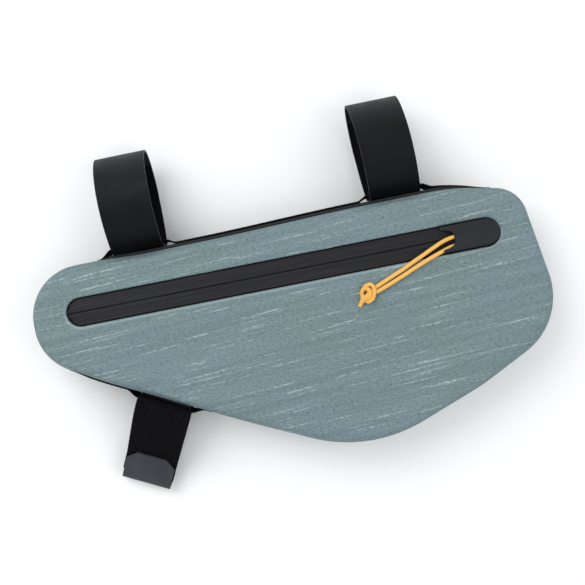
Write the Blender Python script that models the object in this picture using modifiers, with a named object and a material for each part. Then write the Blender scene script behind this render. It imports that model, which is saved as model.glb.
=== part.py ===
"""Bicycle frame bag that lies on its flat back, modelled in metres with +Z up.

The bag has a crowned front panel, a side gusset and a flat back panel. A coated
zip runs along the front and ends in a moulded garage, with a knotted pull cord.
Two closed loop straps stand off the top edge and one off the lower edge. Each
strap runs under a webbing band that is sewn to the gusset.

+X runs along the zip, +Y points towards the top straps, and the origin is on
the floor under the middle of the bag.
"""

import math

import bpy
import bmesh
from mathutils import Matrix, Vector

# Bag body
BAG_LENGTH = 0.384
BAG_HEIGHT = 0.1727
BAG_DEPTH = 0.055
PANEL_WALL = 0.0015
SEAM_INSET = 0.003
SEAM_LEVEL = 0.006
EDGE_ROUND = 0.005
CROWN_INSET = 0.016
CROWN_RISE = 0.0012
GUSSET_SHOULDER = 0.007
GAP = 0.0003
ARC_STEP = math.radians(10)

# Corners of the bag's outline, counter-clockwise from the top of the nose
# columns: x as a share of the length, y and radius as shares of the height
OUTLINE = [
    ("nose_top", -0.505, 0.2955, 0.222),
    ("nose_bottom", -0.504, -0.084, 0.222),
    ("keel", 0.0846, -0.7487, 0.631),
    ("rear_low", 0.329, -0.5495, 1.274),
    ("rear_bottom", 0.5105, -0.3497, 0.300),
    ("rear_top", 0.4688, 0.2536, 0.139),
    ("top_bend", 0.3385, 0.312, 0.870),
]

# Zip and garage
ZIP_WIDTH = 0.0213
ZIP_HEIGHT_SHARE = 0.093
ZIP_NOSE_MARGIN = 0.0283
ZIP_REAR_MARGIN = 0.0330
ZIP_TAPE_THICKNESS = 0.0012
ZIP_TAPE_LAP = 0.0035
GARAGE_LENGTH = 0.0428
GARAGE_MOUTH_RADIUS = 0.0093
GARAGE_WALL = 0.0014
GARAGE_ROOF = 0.0014
GARAGE_HEADROOM = 0.0043
GARAGE_EDGE = 0.0009
SLIDER_LENGTH = 0.011
SLIDER_WIDTH = 0.0105
SLIDER_HEIGHT = 0.0036
SLIDER_SETBACK = 0.0135
SLIDER_EYE = 0.0022
SLIDER_OFFSET = 0.0024
CUTTER_HEIGHT = 0.020

# Pull cord and knot
CORD_DIAMETER = 0.0031
CORD_STEP = 0.0068
KNOT_WIDTH = 0.0098
KNOT_LENGTH = 0.0132
KNOT_HEIGHT = 0.0064
# Cord routes from the slider to the knot: x, y and height above the front panel
CORD_UPPER_ROUTE = [
    (0.1372, 0.0157, 0.0010),
    (0.1300, 0.0169, 0.0010),
    (0.1229, 0.0170, 0.0010),
    (0.1150, 0.0152, 0.0011),
    (0.1070, 0.0119, 0.0013),
    (0.0987, 0.0082, 0.0017),
    (0.0906, 0.0047, 0.0019),
    (0.0823, 0.0009, 0.0018),
    (0.0743, -0.0023, 0.0018),
    (0.0668, -0.0053, 0.0020),
    (0.0612, -0.0076, 0.0023),
]
CORD_LOWER_ROUTE = [
    (0.1372, 0.0117, 0.0010),
    (0.1300, 0.0112, 0.0010),
    (0.1216, 0.0104, 0.0010),
    (0.1137, 0.0083, 0.0013),
    (0.1057, 0.0057, 0.0017),
    (0.0977, 0.0028, 0.0019),
    (0.0896, -0.0004, 0.0018),
    (0.0816, -0.0037, 0.0018),
    (0.0735, -0.0068, 0.0018),
    (0.0668, -0.0093, 0.0020),
    (0.0612, -0.0113, 0.0023),
]
KNOT_CENTRE = (0.0551, -0.0108, 0.0036)
KNOT_TAIL_ROUTES = [
    ("upper", [(0.0545, -0.0115, 0.0040), (0.0508, -0.0140, 0.0030), (0.0468, -0.0158, 0.0019)]),
    ("lower", [(0.0560, -0.0125, 0.0040), (0.0535, -0.0165, 0.0030), (0.0500, -0.0192, 0.0019)]),
]

# Webbing bands on the gusset
WEBBING_WIDTH = 0.025
WEBBING_THICKNESS = 0.0014
BASE_STRIP_THICKNESS = 0.0022
WEBBING_RAMP = 0.009
WEBBING_CLEARANCE = 0.0012
WEBBING_LEAD = 0.0127
TOP_WEBBING_REAR_MARGIN = 0.031
DOWN_WEBBING_NOSE_LEAD = 0.046
DOWN_WEBBING_KEEL_LEAD = 0.012
BAND_STEP = 0.006

# Hook-and-loop straps
STRAP_WIDTH = 0.038
STRAP_THICKNESS = 0.0015
STRAP_LAP_GAP = 0.0005
PILE_WIDTH = 0.040
NOSE_STRAP_MARGIN = 0.087
TAIL_STRAP_MARGIN = 0.1014
TAIL_STRAP_LEAN = math.radians(2.8)
DOWN_STRAP_MARGIN = 0.0857
TOP_LOOP_HEIGHT = 0.0745
TOP_LOOP_FRONT = 0.0345
DOWN_LOOP_LENGTH = 0.0715
DOWN_LOOP_FRONT = 0.018
DOWN_TAB_LENGTH = 0.0235
TAB_CORNER_WIDTH = 0.008
TAB_CORNER_LENGTH = 0.007
FLOOR_CLEARANCE = 0.0003
SMOOTH_STEPS = 3

# Smooth section of a top strap from the near foot over the top to its free end
# columns: height as a share of the loop's height, depth as a share of its reach
TOP_RUBBER_ROUTE = [
    (0.060, 0.530),
    (0.150, 0.710),
    (0.290, 0.890),
    (0.460, 0.990),
    (0.640, 0.960),
    (0.810, 0.780),
    (0.930, 0.500),
    (0.989, 0.160),
    (0.970, -0.230),
    (0.880, -0.580),
    (0.740, -0.850),
    (0.560, -0.985),
]
# Pile section of a top strap from its far foot to where the smooth end covers it
TOP_PILE_ROUTE = [
    (0.085, -0.640),
    (0.200, -0.800),
    (0.360, -0.890),
]
# Pile section of the lower strap, from the foot out to its end inside the fold
# columns: reach as a share of the loop's length, height as a share of its reach
DOWN_PILE_ROUTE = [
    (0.065, 0.960),
    (0.150, 0.990),
    (0.290, 0.700),
    (0.480, 0.090),
]
DOWN_PILE_END = [
    (0.660, -0.330),
    (0.780, -0.490),
    (0.890, -0.575),
]
# Smooth section of the lower strap, along the floor and round the fold
DOWN_RUBBER_ROUTE = [
    (0.060, -0.690),
    (0.150, -0.880),
    (0.290, -0.975),
    (0.460, -1.000),
    (0.700, -1.000),
    (0.880, -0.985),
    (0.962, -0.900),
    (0.989, -0.760),
    (0.972, -0.625),
]

# Colours of the materials, as linear red, green and blue
FABRIC_COLOUR = (0.195, 0.270, 0.292)
COATED_TAPE_COLOUR = (0.019, 0.018, 0.022)
GARAGE_COLOUR = (0.033, 0.033, 0.036)
METAL_COLOUR = (0.050, 0.050, 0.055)
CORD_COLOUR = (0.880, 0.450, 0.095)
WEBBING_COLOUR = (0.010, 0.010, 0.011)
BASE_STRIP_COLOUR = (0.060, 0.062, 0.064)
STRAP_COLOUR = (0.021, 0.022, 0.026)
PILE_COLOUR = (0.006, 0.006, 0.007)


def clear_scene():
    """Remove every object that the open scene holds."""
    for old in list(bpy.data.objects):
        bpy.data.objects.remove(old, do_unlink=True)


def make_material(name, colour, roughness, metallic=0.0):
    """Return a Principled material with one colour."""
    material = bpy.data.materials.new(name)
    material.use_nodes = True
    shader = material.node_tree.nodes["Principled BSDF"]
    shader.inputs["Base Color"].default_value = (*colour, 1.0)
    shader.inputs["Roughness"].default_value = roughness
    shader.inputs["Metallic"].default_value = metallic
    material.diffuse_color = (*colour, 1.0)
    return material


def add_object(name, mesh, collection, material=None):
    """Link a mesh to the scene as a named object."""
    piece = bpy.data.objects.new(name, mesh)
    collection.objects.link(piece)
    if material is not None:
        mesh.materials.append(material)
    return piece


def mesh_from_curve(name, curve_object):
    """Turn a curve object into a mesh with welded caps, and remove the curve."""
    bpy.context.view_layer.update()
    evaluated = curve_object.evaluated_get(bpy.context.evaluated_depsgraph_get())
    mesh = bpy.data.meshes.new_from_object(evaluated)
    mesh.name = name
    mesh.materials.clear()
    work = bmesh.new()
    work.from_mesh(mesh)
    bmesh.ops.remove_doubles(work, verts=work.verts, dist=0.00001)
    bmesh.ops.recalc_face_normals(work, faces=work.faces)
    work.to_mesh(mesh)
    work.free()
    bpy.data.objects.remove(curve_object, do_unlink=True)
    return mesh


def extruded_outline(name, outline, length, collection, material=None):
    """Make a solid from a closed flat outline, extruded evenly about its plane."""
    curve = bpy.data.curves.new(name, "CURVE")
    curve.dimensions = "2D"
    curve.fill_mode = "BOTH"
    curve.extrude = length / 2
    spline = curve.splines.new("POLY")
    spline.points.add(len(outline) - 1)
    for point, (x, y) in zip(spline.points, outline):
        point.co = (x, y, 0.0, 1.0)
    spline.use_cyclic_u = True
    guide = bpy.data.objects.new(name + "_curve", curve)
    collection.objects.link(guide)
    return add_object(name, mesh_from_curve(name, guide), collection, material)


def tube(name, points, diameter, collection, material):
    """Make a round cord as a curve with filled caps."""
    curve = bpy.data.curves.new(name, "CURVE")
    curve.dimensions = "3D"
    curve.bevel_depth = diameter / 2
    curve.bevel_resolution = 2
    curve.use_fill_caps = True
    spline = curve.splines.new("POLY")
    spline.points.add(len(points) - 1)
    for point, place in zip(spline.points, points):
        point.co = (*place, 1.0)
    piece = bpy.data.objects.new(name, curve)
    collection.objects.link(piece)
    curve.materials.append(material)
    return piece


def cut(target, cutter):
    """Subtract a cutter from a piece with an exact Boolean."""
    modifier = target.modifiers.new("Cut_" + cutter.name, "BOOLEAN")
    modifier.operation = "DIFFERENCE"
    modifier.solver = "EXACT"
    modifier.object = cutter
    cutter.hide_render = True
    cutter.display_type = "WIRE"


def unite(target, addition):
    """Join another closed mesh to a piece with an exact Boolean."""
    modifier = target.modifiers.new("Join_" + addition.name, "BOOLEAN")
    modifier.operation = "UNION"
    modifier.solver = "EXACT"
    modifier.object = addition
    addition.hide_render = True
    addition.display_type = "WIRE"


def smooth_route(rows, steps=SMOOTH_STEPS):
    """Return points on a smooth curve that passes through every row."""
    knots = [Vector(row) for row in rows]
    knots = [2 * knots[0] - knots[1]] + knots + [2 * knots[-1] - knots[-2]]
    points = []
    for i in range(1, len(knots) - 2):
        before, start, end, after = knots[i - 1:i + 3]
        for k in range(steps):
            t = k / steps
            a = 2 * start
            b = end - before
            c = 2 * before - 5 * start + 4 * end - after
            d = 3 * start - before - 3 * end + after
            points.append((a + b * t + c * t * t + d * t ** 3) / 2)
    points.append(knots[-2])
    return points


def resample(points, step):
    """Return points at even distances of about one step along a route."""
    lengths = [0.0]
    for start, end in zip(points, points[1:]):
        lengths.append(lengths[-1] + (end - start).length)
    count = max(2, round(lengths[-1] / step))
    result = []
    for k in range(count + 1):
        result.append(point_at_length(points, lengths, lengths[-1] * k / count))
    return result


def point_at_length(points, lengths, wanted):
    """Return the place on a polyline at a given distance from its start."""
    for i in range(1, len(points)):
        if lengths[i] >= wanted or i == len(points) - 1:
            share = (wanted - lengths[i - 1]) / (lengths[i] - lengths[i - 1])
            return points[i - 1].lerp(points[i], share)
    return points[-1]


def side_normals(points):
    """Return the left-hand unit normal at each point of a flat route."""
    normals = []
    for i in range(len(points)):
        start = points[max(0, i - 1)]
        end = points[min(len(points) - 1, i + 1)]
        along = (end - start).normalized()
        normals.append(Vector((-along.y, along.x)))
    return normals


def offset_route(points, distance):
    """Move a flat route sideways, to its left for a positive distance."""
    normals = side_normals(points)
    return [point + normal * distance for point, normal in zip(points, normals)]


def ribbon_outline(points, thickness):
    """Return the closed outline of a ribbon's section about its centre line."""
    left = offset_route(points, thickness / 2)
    right = offset_route(points, -thickness / 2)
    return left + right[::-1]


def outline_arcs():
    """Return centre, radius, first angle and sweep of each corner of the bag."""
    corners = [Vector((x * BAG_LENGTH, y * BAG_HEIGHT)) for _, x, y, _ in OUTLINE]
    arcs = []
    for i, corner in enumerate(corners):
        before = (corners[i - 1] - corner).normalized()
        after = (corners[(i + 1) % len(corners)] - corner).normalized()
        radius = OUTLINE[i][3] * BAG_HEIGHT
        half_angle = before.angle(after) / 2
        centre = corner + (before + after).normalized() * radius / math.sin(half_angle)
        first = math.atan2(before.x, -before.y)
        arcs.append((centre, radius, first, math.pi - 2 * half_angle))
    return arcs


def bag_outline(inset=0.0, arc_step=ARC_STEP):
    """Return the bag's rounded outline, moved inwards by the inset."""
    points = []
    for centre, radius, first, sweep in outline_arcs():
        steps = max(1, math.ceil(sweep / arc_step))
        for k in range(steps + 1):
            angle = first + sweep * k / steps
            reach = radius - inset
            points.append(centre + Vector((math.cos(angle), math.sin(angle))) * reach)
    return points


def edge_place(x, upper):
    """Return place and outward normal of the bag's edge at x, above or below."""
    points = bag_outline()
    best = None
    for start, end in zip(points, points[1:] + points[:1]):
        if start.x == end.x or not min(start.x, end.x) <= x <= max(start.x, end.x):
            continue
        place = start.lerp(end, (x - start.x) / (end.x - start.x))
        along = (end - start).normalized()
        if best is None or (place.y > best[0].y) == upper:
            best = (place, Vector((along.y, -along.x)))
    return best


def edge_stretch(start_x, end_x, upper):
    """Return places and outward normals along one side of the bag, by rising x."""
    count = max(2, math.ceil((end_x - start_x) / BAND_STEP))
    return [edge_place(start_x + (end_x - start_x) * k / count, upper) for k in range(count + 1)]


def band_outline(stretch, lifts, inner, thickness):
    """Return the outline of a band that follows the bag's edge.

    Each lift is the place where a strap passes, and how far the band rises there.
    """
    low = []
    high = []
    for place, normal in stretch:
        rise = inner
        for centre, half_width, height in lifts:
            away = (place - centre).length - half_width
            share = min(1.0, max(0.0, 1.0 - away / WEBBING_RAMP))
            rise += height * share * share * (3 - 2 * share)
        low.append(place + normal * rise)
        high.append(place + normal * (rise + thickness))
    return low + high[::-1]


def ring_shell(name, rows, capped, collection, material):
    """Make an open shell from rings of the bag's outline, and give it its wall.

    Each row holds a ring's inset from the outline and its height.
    """
    work = bmesh.new()
    rings = []
    for inset, height in rows:
        ring = [work.verts.new((*point, height)) for point in bag_outline(inset)]
        rings.append(ring)
    for low, high in zip(rings, rings[1:]):
        for i in range(len(low)):
            j = (i + 1) % len(low)
            work.faces.new((low[i], low[j], high[j], high[i]))
    if capped:
        work.faces.new(rings[-1])
    bmesh.ops.recalc_face_normals(work, faces=work.faces)
    outward = sum(face.normal.dot(face.calc_center_median() - Vector((0, 0, BAG_DEPTH / 2)))
                  for face in work.faces)
    if outward < 0:
        bmesh.ops.reverse_faces(work, faces=work.faces)
    mesh = bpy.data.meshes.new(name)
    work.to_mesh(mesh)
    work.free()
    piece = add_object(name, mesh, collection, material)
    wall = piece.modifiers.new("Wall", "SOLIDIFY")
    wall.thickness = PANEL_WALL
    wall.offset = -1.0
    wall.use_even_offset = True
    return piece


def half_stadium(start_x, end_x, half_width, round_end, side):
    """Return the outline of one half of a stadium, split along its length."""
    points = [Vector((start_x + half_width, side * GAP / 2))]
    points[0].x = start_x
    steps = 8
    for k in range(1, steps + 1):
        angle = math.pi - math.pi / 2 * k / steps
        x = start_x + half_width + half_width * math.cos(angle)
        points.append(Vector((x, side * (GAP / 2 + (half_width - GAP / 2) * math.sin(angle)))))
    if round_end:
        for k in range(steps):
            angle = math.pi / 2 - math.pi / 2 * k / steps
            x = end_x - half_width + half_width * math.cos(angle)
            points.append(Vector((x, side * (GAP / 2 + (half_width - GAP / 2) * math.sin(angle)))))
    else:
        points.append(Vector((end_x, side * half_width)))
    points.append(Vector((end_x, side * GAP / 2)))
    return points


def stadium(start_x, end_x, half_width):
    """Return the outline of a slot with two round ends."""
    points = []
    steps = 14
    for k in range(steps + 1):
        angle = math.pi / 2 + math.pi * k / steps
        points.append((start_x + half_width * (1 + math.cos(angle)), half_width * math.sin(angle)))
    for k in range(steps + 1):
        angle = -math.pi / 2 + math.pi * k / steps
        points.append((end_x - half_width * (1 - math.cos(angle)), half_width * math.sin(angle)))
    return points


def garage_outline(end_x, half_width):
    """Return the garage's outline, round behind and hollow at its mouth."""
    start_x = end_x - GARAGE_LENGTH
    steps = 12
    points = []
    for k in range(steps + 1):
        angle = -math.pi / 2 + math.pi * k / steps
        x = end_x - half_width + half_width * math.cos(angle)
        points.append((x, half_width * math.sin(angle)))
    points.append((start_x, half_width))
    for k in range(steps + 1):
        angle = math.pi / 2 - math.pi * k / steps
        x = start_x + GARAGE_MOUTH_RADIUS * math.cos(angle)
        points.append((x, GARAGE_MOUTH_RADIUS * math.sin(angle)))
    points.append((start_x, -half_width))
    return points


def box(name, size, place, collection, material=None):
    """Make a box with its middle at the given place."""
    work = bmesh.new()
    bmesh.ops.create_cube(work, size=1.0)
    bmesh.ops.scale(work, vec=size, verts=work.verts)
    mesh = bpy.data.meshes.new(name)
    work.to_mesh(mesh)
    work.free()
    piece = add_object(name, mesh, collection, material)
    piece.location = place
    return piece


def bevel_top_edges(piece, width):
    """Round the edges round the top face of a flat extruded piece."""
    mesh = piece.data
    work = bmesh.new()
    work.from_mesh(mesh)
    top = max(vert.co.z for vert in work.verts)
    rim = []
    for edge in work.edges:
        flat = all(abs(vert.co.z - top) < 0.00001 for vert in edge.verts)
        side = any(abs(face.normal.z) < 0.5 for face in edge.link_faces)
        if flat and side:
            rim.append(edge)
    bmesh.ops.bevel(work, geom=rim, offset=width, segments=2, profile=0.5, affect="EDGES")
    work.to_mesh(mesh)
    work.free()


def build_body(parts, fabric):
    """Make the front panel, the gusset and the back panel."""
    top = BAG_DEPTH
    seam = SEAM_LEVEL
    inset = SEAM_INSET
    fall = seam - CROWN_RISE
    front_rows = [
        (inset, top - seam + GAP / 2),
        (inset, top - seam + 0.22 * fall),
        (inset + 0.14 * EDGE_ROUND, top - seam + 0.60 * fall),
        (inset + 0.45 * EDGE_ROUND, top - seam + 0.88 * fall),
        (inset + EDGE_ROUND, top - CROWN_RISE),
        (CROWN_INSET, top),
    ]
    back_rows = [
        (inset, seam - GAP / 2),
        (inset, seam - 0.22 * seam),
        (inset + 0.14 * EDGE_ROUND, seam - 0.60 * seam),
        (inset + 0.45 * EDGE_ROUND, seam - 0.88 * seam),
        (inset + EDGE_ROUND, 0.0),
    ]
    shoulder = GUSSET_SHOULDER
    gusset_rows = [
        (inset, seam + GAP / 2),
        (inset, seam + 0.18 * shoulder),
        (0.30 * inset, seam + 0.60 * shoulder),
        (0.0, seam + shoulder),
        (0.0, top - seam - shoulder),
        (0.30 * inset, top - seam - 0.60 * shoulder),
        (inset, top - seam - 0.18 * shoulder),
        (inset, top - seam - GAP / 2),
    ]
    front = ring_shell("front_panel", front_rows, True, parts, fabric)
    ring_shell("back_panel", back_rows, True, parts, fabric)
    ring_shell("gusset", gusset_rows, False, parts, fabric)
    return front


def build_zip(parts, cutters, front, tape_material, garage_material, metal):
    """Make the slot, the two coated tapes, the garage and the hidden slider."""
    centre_y = ZIP_HEIGHT_SHARE * BAG_HEIGHT
    start_x = min(point.x for point in bag_outline()) + ZIP_NOSE_MARGIN
    end_x = max(point.x for point in bag_outline()) - ZIP_REAR_MARGIN
    slot = extruded_outline("zip_slot", stadium(start_x, end_x, ZIP_WIDTH / 2), CUTTER_HEIGHT, cutters)
    slot.location = (0.0, centre_y, BAG_DEPTH)
    cut(front, slot)
    tape_top = BAG_DEPTH - PANEL_WALL - GAP
    for name, side in (("zip_tape_upper", 1), ("zip_tape_lower", -1)):
        half_width = ZIP_WIDTH / 2 + ZIP_TAPE_LAP
        outline = half_stadium(start_x - ZIP_TAPE_LAP, end_x + ZIP_TAPE_LAP, half_width, True, side)
        tape = extruded_outline(name, outline, ZIP_TAPE_THICKNESS, parts, tape_material)
        tape.location = (0.0, centre_y, tape_top - ZIP_TAPE_THICKNESS / 2)
    garage_end = end_x - GAP
    half_width = ZIP_WIDTH / 2 - GAP
    height = GARAGE_HEADROOM + GARAGE_ROOF
    garage = extruded_outline("zip_garage", garage_outline(garage_end, half_width), height, parts,
                              garage_material)
    bevel_top_edges(garage, GARAGE_EDGE)
    garage_base = tape_top + GAP
    garage.location = (0.0, centre_y, garage_base + height / 2)
    cavity_start = garage_end - GARAGE_LENGTH - ZIP_WIDTH
    cavity_outline = stadium(cavity_start, garage_end - GARAGE_WALL, half_width - GARAGE_WALL)
    cavity = extruded_outline("garage_cavity", cavity_outline, 2 * GARAGE_HEADROOM, cutters)
    cavity.location = (0.0, centre_y, garage_base)
    cut(garage, cavity)
    slider_x = garage_end - SLIDER_SETBACK
    slider_place = (slider_x, centre_y - SLIDER_OFFSET, garage_base + SLIDER_HEIGHT / 2)
    slider = box("zip_slider", (SLIDER_LENGTH, SLIDER_WIDTH, SLIDER_HEIGHT), slider_place, parts, metal)
    eye_size = (SLIDER_EYE, 2 * SLIDER_WIDTH, SLIDER_EYE)
    eye_place = (slider_x - SLIDER_LENGTH / 2 + SLIDER_EYE, slider_place[1], slider_place[2])
    eye = box("slider_eye", eye_size, eye_place, cutters)
    cut(slider, eye)


def cord_points(route):
    """Return a cord's evenly spaced points, raised from the front panel's face."""
    raised = [(x, y, BAG_DEPTH + height) for x, y, height in route]
    return resample(smooth_route(raised, 6), CORD_STEP)


def build_cord(parts, cutters, cord_material):
    """Make the two strands of the pull cord and the knot with its cut tails."""
    tube("pull_cord_upper", cord_points(CORD_UPPER_ROUTE), CORD_DIAMETER, parts, cord_material)
    tube("pull_cord_lower", cord_points(CORD_LOWER_ROUTE), CORD_DIAMETER, parts, cord_material)
    work = bmesh.new()
    bmesh.ops.create_uvsphere(work, u_segments=16, v_segments=10, radius=0.5)
    bmesh.ops.scale(work, vec=(KNOT_WIDTH, KNOT_LENGTH, KNOT_HEIGHT), verts=work.verts)
    mesh = bpy.data.meshes.new("pull_knot")
    work.to_mesh(mesh)
    work.free()
    knot = add_object("pull_knot", mesh, parts, cord_material)
    x, y, height = KNOT_CENTRE
    knot.location = (x, y, BAG_DEPTH + height)
    for side, route in KNOT_TAIL_ROUTES:
        name = "knot_tail_" + side
        raised = [(px, py, BAG_DEPTH + up) for px, py, up in route]
        tail = tube(name + "_curve", smooth_route(raised, 3), CORD_DIAMETER, cutters, cord_material)
        tail_mesh = mesh_from_curve(name, tail)
        unite(knot, add_object(name, tail_mesh, cutters))


def layer_heights(base):
    """Return the heights of the two strap layers and of the webbing over them."""
    first = base + GAP + STRAP_THICKNESS / 2
    second = first + STRAP_THICKNESS + GAP
    cover = second + STRAP_THICKNESS / 2 + GAP
    return first, second, cover


def strap_profile(routes, base, near_reach, far_reach, length):
    """Turn rows of shares into places outward and upward from the strap's foot."""
    points = []
    for outward, across in routes:
        reach = near_reach if across > 0 else far_reach
        points.append((base + outward * length, BAG_DEPTH / 2 + across * reach))
    return points


def place_strap(piece, foot, heading, lean=0.0):
    """Stand a strap's extruded profile on the bag's edge, leaning along the edge."""
    shear = Matrix.Identity(4)
    shear[2][0] = -math.tan(lean)
    piece.data.transform(shear)
    piece.location = (foot.x, foot.y, 0.0)
    piece.rotation_euler = (math.pi / 2, 0.0, heading)


def build_top_strap(name, x, lean, parts, rubber, pile):
    """Make one top strap, a smooth section closed over the end of a pile one."""
    place, normal = edge_place(x, True)
    heading = math.atan2(normal.y, normal.x)
    base = BASE_STRIP_THICKNESS + GAP
    first, second, _ = layer_heights(base)
    far_reach = BAG_DEPTH / 2 - FLOOR_CLEARANCE - STRAP_THICKNESS / 2
    tuck = WEBBING_WIDTH / 2
    middle = BAG_DEPTH / 2
    rows = [(first, middle - 0.85 * tuck), (first, middle), (first, middle + 1.05 * tuck)]
    rows += strap_profile(TOP_RUBBER_ROUTE, base, TOP_LOOP_FRONT, far_reach, TOP_LOOP_HEIGHT)
    route = smooth_route(rows)
    outline = ribbon_outline(route, STRAP_THICKNESS)
    strap = extruded_outline(name, outline, STRAP_WIDTH, parts, rubber)
    place_strap(strap, place, heading, lean)
    covered = offset_route(route, -STRAP_THICKNESS - STRAP_LAP_GAP)[-2 * SMOOTH_STEPS - 1:]
    rows = [(second, middle + 0.85 * tuck), (second, middle), (second, middle - 1.05 * tuck)]
    rows += strap_profile(TOP_PILE_ROUTE, base, TOP_LOOP_FRONT, far_reach, TOP_LOOP_HEIGHT)
    rows += [tuple(point) for point in covered[::-SMOOTH_STEPS]]
    outline = ribbon_outline(smooth_route(rows), STRAP_THICKNESS)
    lining = extruded_outline(name + "_pile", outline, STRAP_WIDTH, parts, pile)
    place_strap(lining, place, heading, lean)
    return place


def build_down_strap(parts, cutters, rubber, pile):
    """Make the lower strap, whose tab folds back over the pile's face."""
    nose_x = min(point.x for point in bag_outline())
    place, normal = edge_place(nose_x + DOWN_STRAP_MARGIN, False)
    heading = math.atan2(normal.y, normal.x)
    first, second, _ = layer_heights(0.0)
    far_reach = BAG_DEPTH / 2 - FLOOR_CLEARANCE - STRAP_THICKNESS / 2
    tuck = WEBBING_WIDTH / 2
    middle = BAG_DEPTH / 2
    rows = [(second, middle - 0.85 * tuck), (second, middle), (second, middle + 1.05 * tuck)]
    rows += strap_profile(DOWN_PILE_ROUTE + DOWN_PILE_END, 0.0, DOWN_LOOP_FRONT, far_reach,
                          DOWN_LOOP_LENGTH)
    pile_route = smooth_route(rows)
    outline = ribbon_outline(pile_route, STRAP_THICKNESS)
    lining = extruded_outline("down_strap_pile", outline, PILE_WIDTH, parts, pile)
    place_strap(lining, place, heading)
    rows = [(first, middle + 0.85 * tuck), (first, middle), (first, middle - 1.05 * tuck)]
    rows += strap_profile(DOWN_RUBBER_ROUTE, 0.0, DOWN_LOOP_FRONT, far_reach, DOWN_LOOP_LENGTH)
    covered = offset_route(pile_route, STRAP_THICKNESS + STRAP_LAP_GAP)
    tab_end = DOWN_LOOP_LENGTH - DOWN_TAB_LENGTH
    tab = [tuple(point) for point in covered[::-1] if tab_end < point.x < 0.90 * DOWN_LOOP_LENGTH]
    rows += tab[::2]
    outline = ribbon_outline(smooth_route(rows), STRAP_THICKNESS)
    strap = extruded_outline("down_strap", outline, STRAP_WIDTH, parts, rubber)
    place_strap(strap, place, heading)
    cut_tab_corners(strap, place, heading, cutters)
    return place


def cut_tab_corners(strap, foot, heading, cutters):
    """Cut the two corners off the lower strap's tab."""
    end = DOWN_LOOP_LENGTH - DOWN_TAB_LENGTH - STRAP_WIDTH / 4
    side = 0.75 * STRAP_WIDTH
    slope = TAB_CORNER_LENGTH / TAB_CORNER_WIDTH
    tab_end = DOWN_LOOP_LENGTH - DOWN_TAB_LENGTH
    reach = tab_end + TAB_CORNER_LENGTH + (side - STRAP_WIDTH / 2) * slope
    start = STRAP_WIDTH / 2 - TAB_CORNER_WIDTH - (tab_end - end) / slope
    for name, sign in (("tab_corner_left", 1), ("tab_corner_right", -1)):
        outline = [(end, sign * side), (end, sign * start), (reach, sign * side)]
        corner = extruded_outline(name, outline, BAG_DEPTH / 2, cutters)
        corner.location = (foot.x, foot.y, BAG_DEPTH / 2)
        corner.rotation_euler = (0.0, 0.0, heading)
        cut(strap, corner)


def build_bands(parts, top_places, down_place, base_material, webbing_material):
    """Make the base strip and the two webbing bands that hold the straps."""
    nose_place = min(top_places, key=lambda point: point.x)
    start_x = nose_place.x - STRAP_WIDTH / 2 - WEBBING_LEAD
    end_x = max(point.x for point in bag_outline()) - TOP_WEBBING_REAR_MARGIN
    stretch = edge_stretch(start_x, end_x, True)
    outline = band_outline(stretch, [], GAP, BASE_STRIP_THICKNESS)
    strip = extruded_outline("top_base_strip", outline, WEBBING_WIDTH, parts, base_material)
    strip.location.z = BAG_DEPTH / 2
    base = BASE_STRIP_THICKNESS + GAP
    cover = layer_heights(base)[2]
    half_width = STRAP_WIDTH / 2 + WEBBING_CLEARANCE
    lifts = [(place, half_width, cover - base - GAP) for place in top_places]
    outline = band_outline(stretch, lifts, base + GAP, WEBBING_THICKNESS)
    band = extruded_outline("top_webbing", outline, WEBBING_WIDTH, parts, webbing_material)
    band.location.z = BAG_DEPTH / 2
    cover = layer_heights(0.0)[2]
    start_x = down_place.x - PILE_WIDTH / 2 - DOWN_WEBBING_NOSE_LEAD
    end_x = down_place.x + PILE_WIDTH / 2 + DOWN_WEBBING_KEEL_LEAD
    stretch = edge_stretch(start_x, end_x, False)
    lifts = [(down_place, PILE_WIDTH / 2 + WEBBING_CLEARANCE, cover - GAP)]
    outline = band_outline(stretch, lifts, GAP, WEBBING_THICKNESS)
    band = extruded_outline("down_webbing", outline, WEBBING_WIDTH, parts, webbing_material)
    band.location.z = BAG_DEPTH / 2


def main():
    """Build every piece of the bag."""
    clear_scene()
    parts = bpy.data.collections.new("bicycle_frame_bag")
    cutters = bpy.data.collections.new("cutters")
    bpy.context.scene.collection.children.link(parts)
    bpy.context.scene.collection.children.link(cutters)
    fabric = make_material("fabric", FABRIC_COLOUR, 0.75)
    coated_tape = make_material("coated_tape", COATED_TAPE_COLOUR, 0.55)
    garage = make_material("garage_rubber", GARAGE_COLOUR, 0.50)
    metal = make_material("slider_metal", METAL_COLOUR, 0.40, 1.0)
    cord = make_material("cord", CORD_COLOUR, 0.80)
    webbing = make_material("webbing", WEBBING_COLOUR, 0.85)
    base_strip = make_material("base_strip", BASE_STRIP_COLOUR, 0.80)
    rubber = make_material("strap_rubber", STRAP_COLOUR, 0.60)
    pile = make_material("strap_pile", PILE_COLOUR, 0.95)
    front = build_body(parts, fabric)
    build_zip(parts, cutters, front, coated_tape, garage, metal)
    build_cord(parts, cutters, cord)
    ends = [point.x for point in bag_outline()]
    nose_x = min(ends) + NOSE_STRAP_MARGIN
    tail_x = max(ends) - TAIL_STRAP_MARGIN
    nose_place = build_top_strap("nose_strap", nose_x, 0.0, parts, rubber, pile)
    tail_place = build_top_strap("tail_strap", tail_x, TAIL_STRAP_LEAN, parts, rubber, pile)
    down_place = build_down_strap(parts, cutters, rubber, pile)
    build_bands(parts, [nose_place, tail_place], down_place, base_strip, webbing)


main()
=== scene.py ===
"""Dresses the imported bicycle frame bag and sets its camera, floor and light.

The bag lies on its flat back. Every size is in metres, in the frame of the
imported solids: +X along the zip, +Y towards the top straps, +Z up.
"""

from __future__ import annotations

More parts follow.
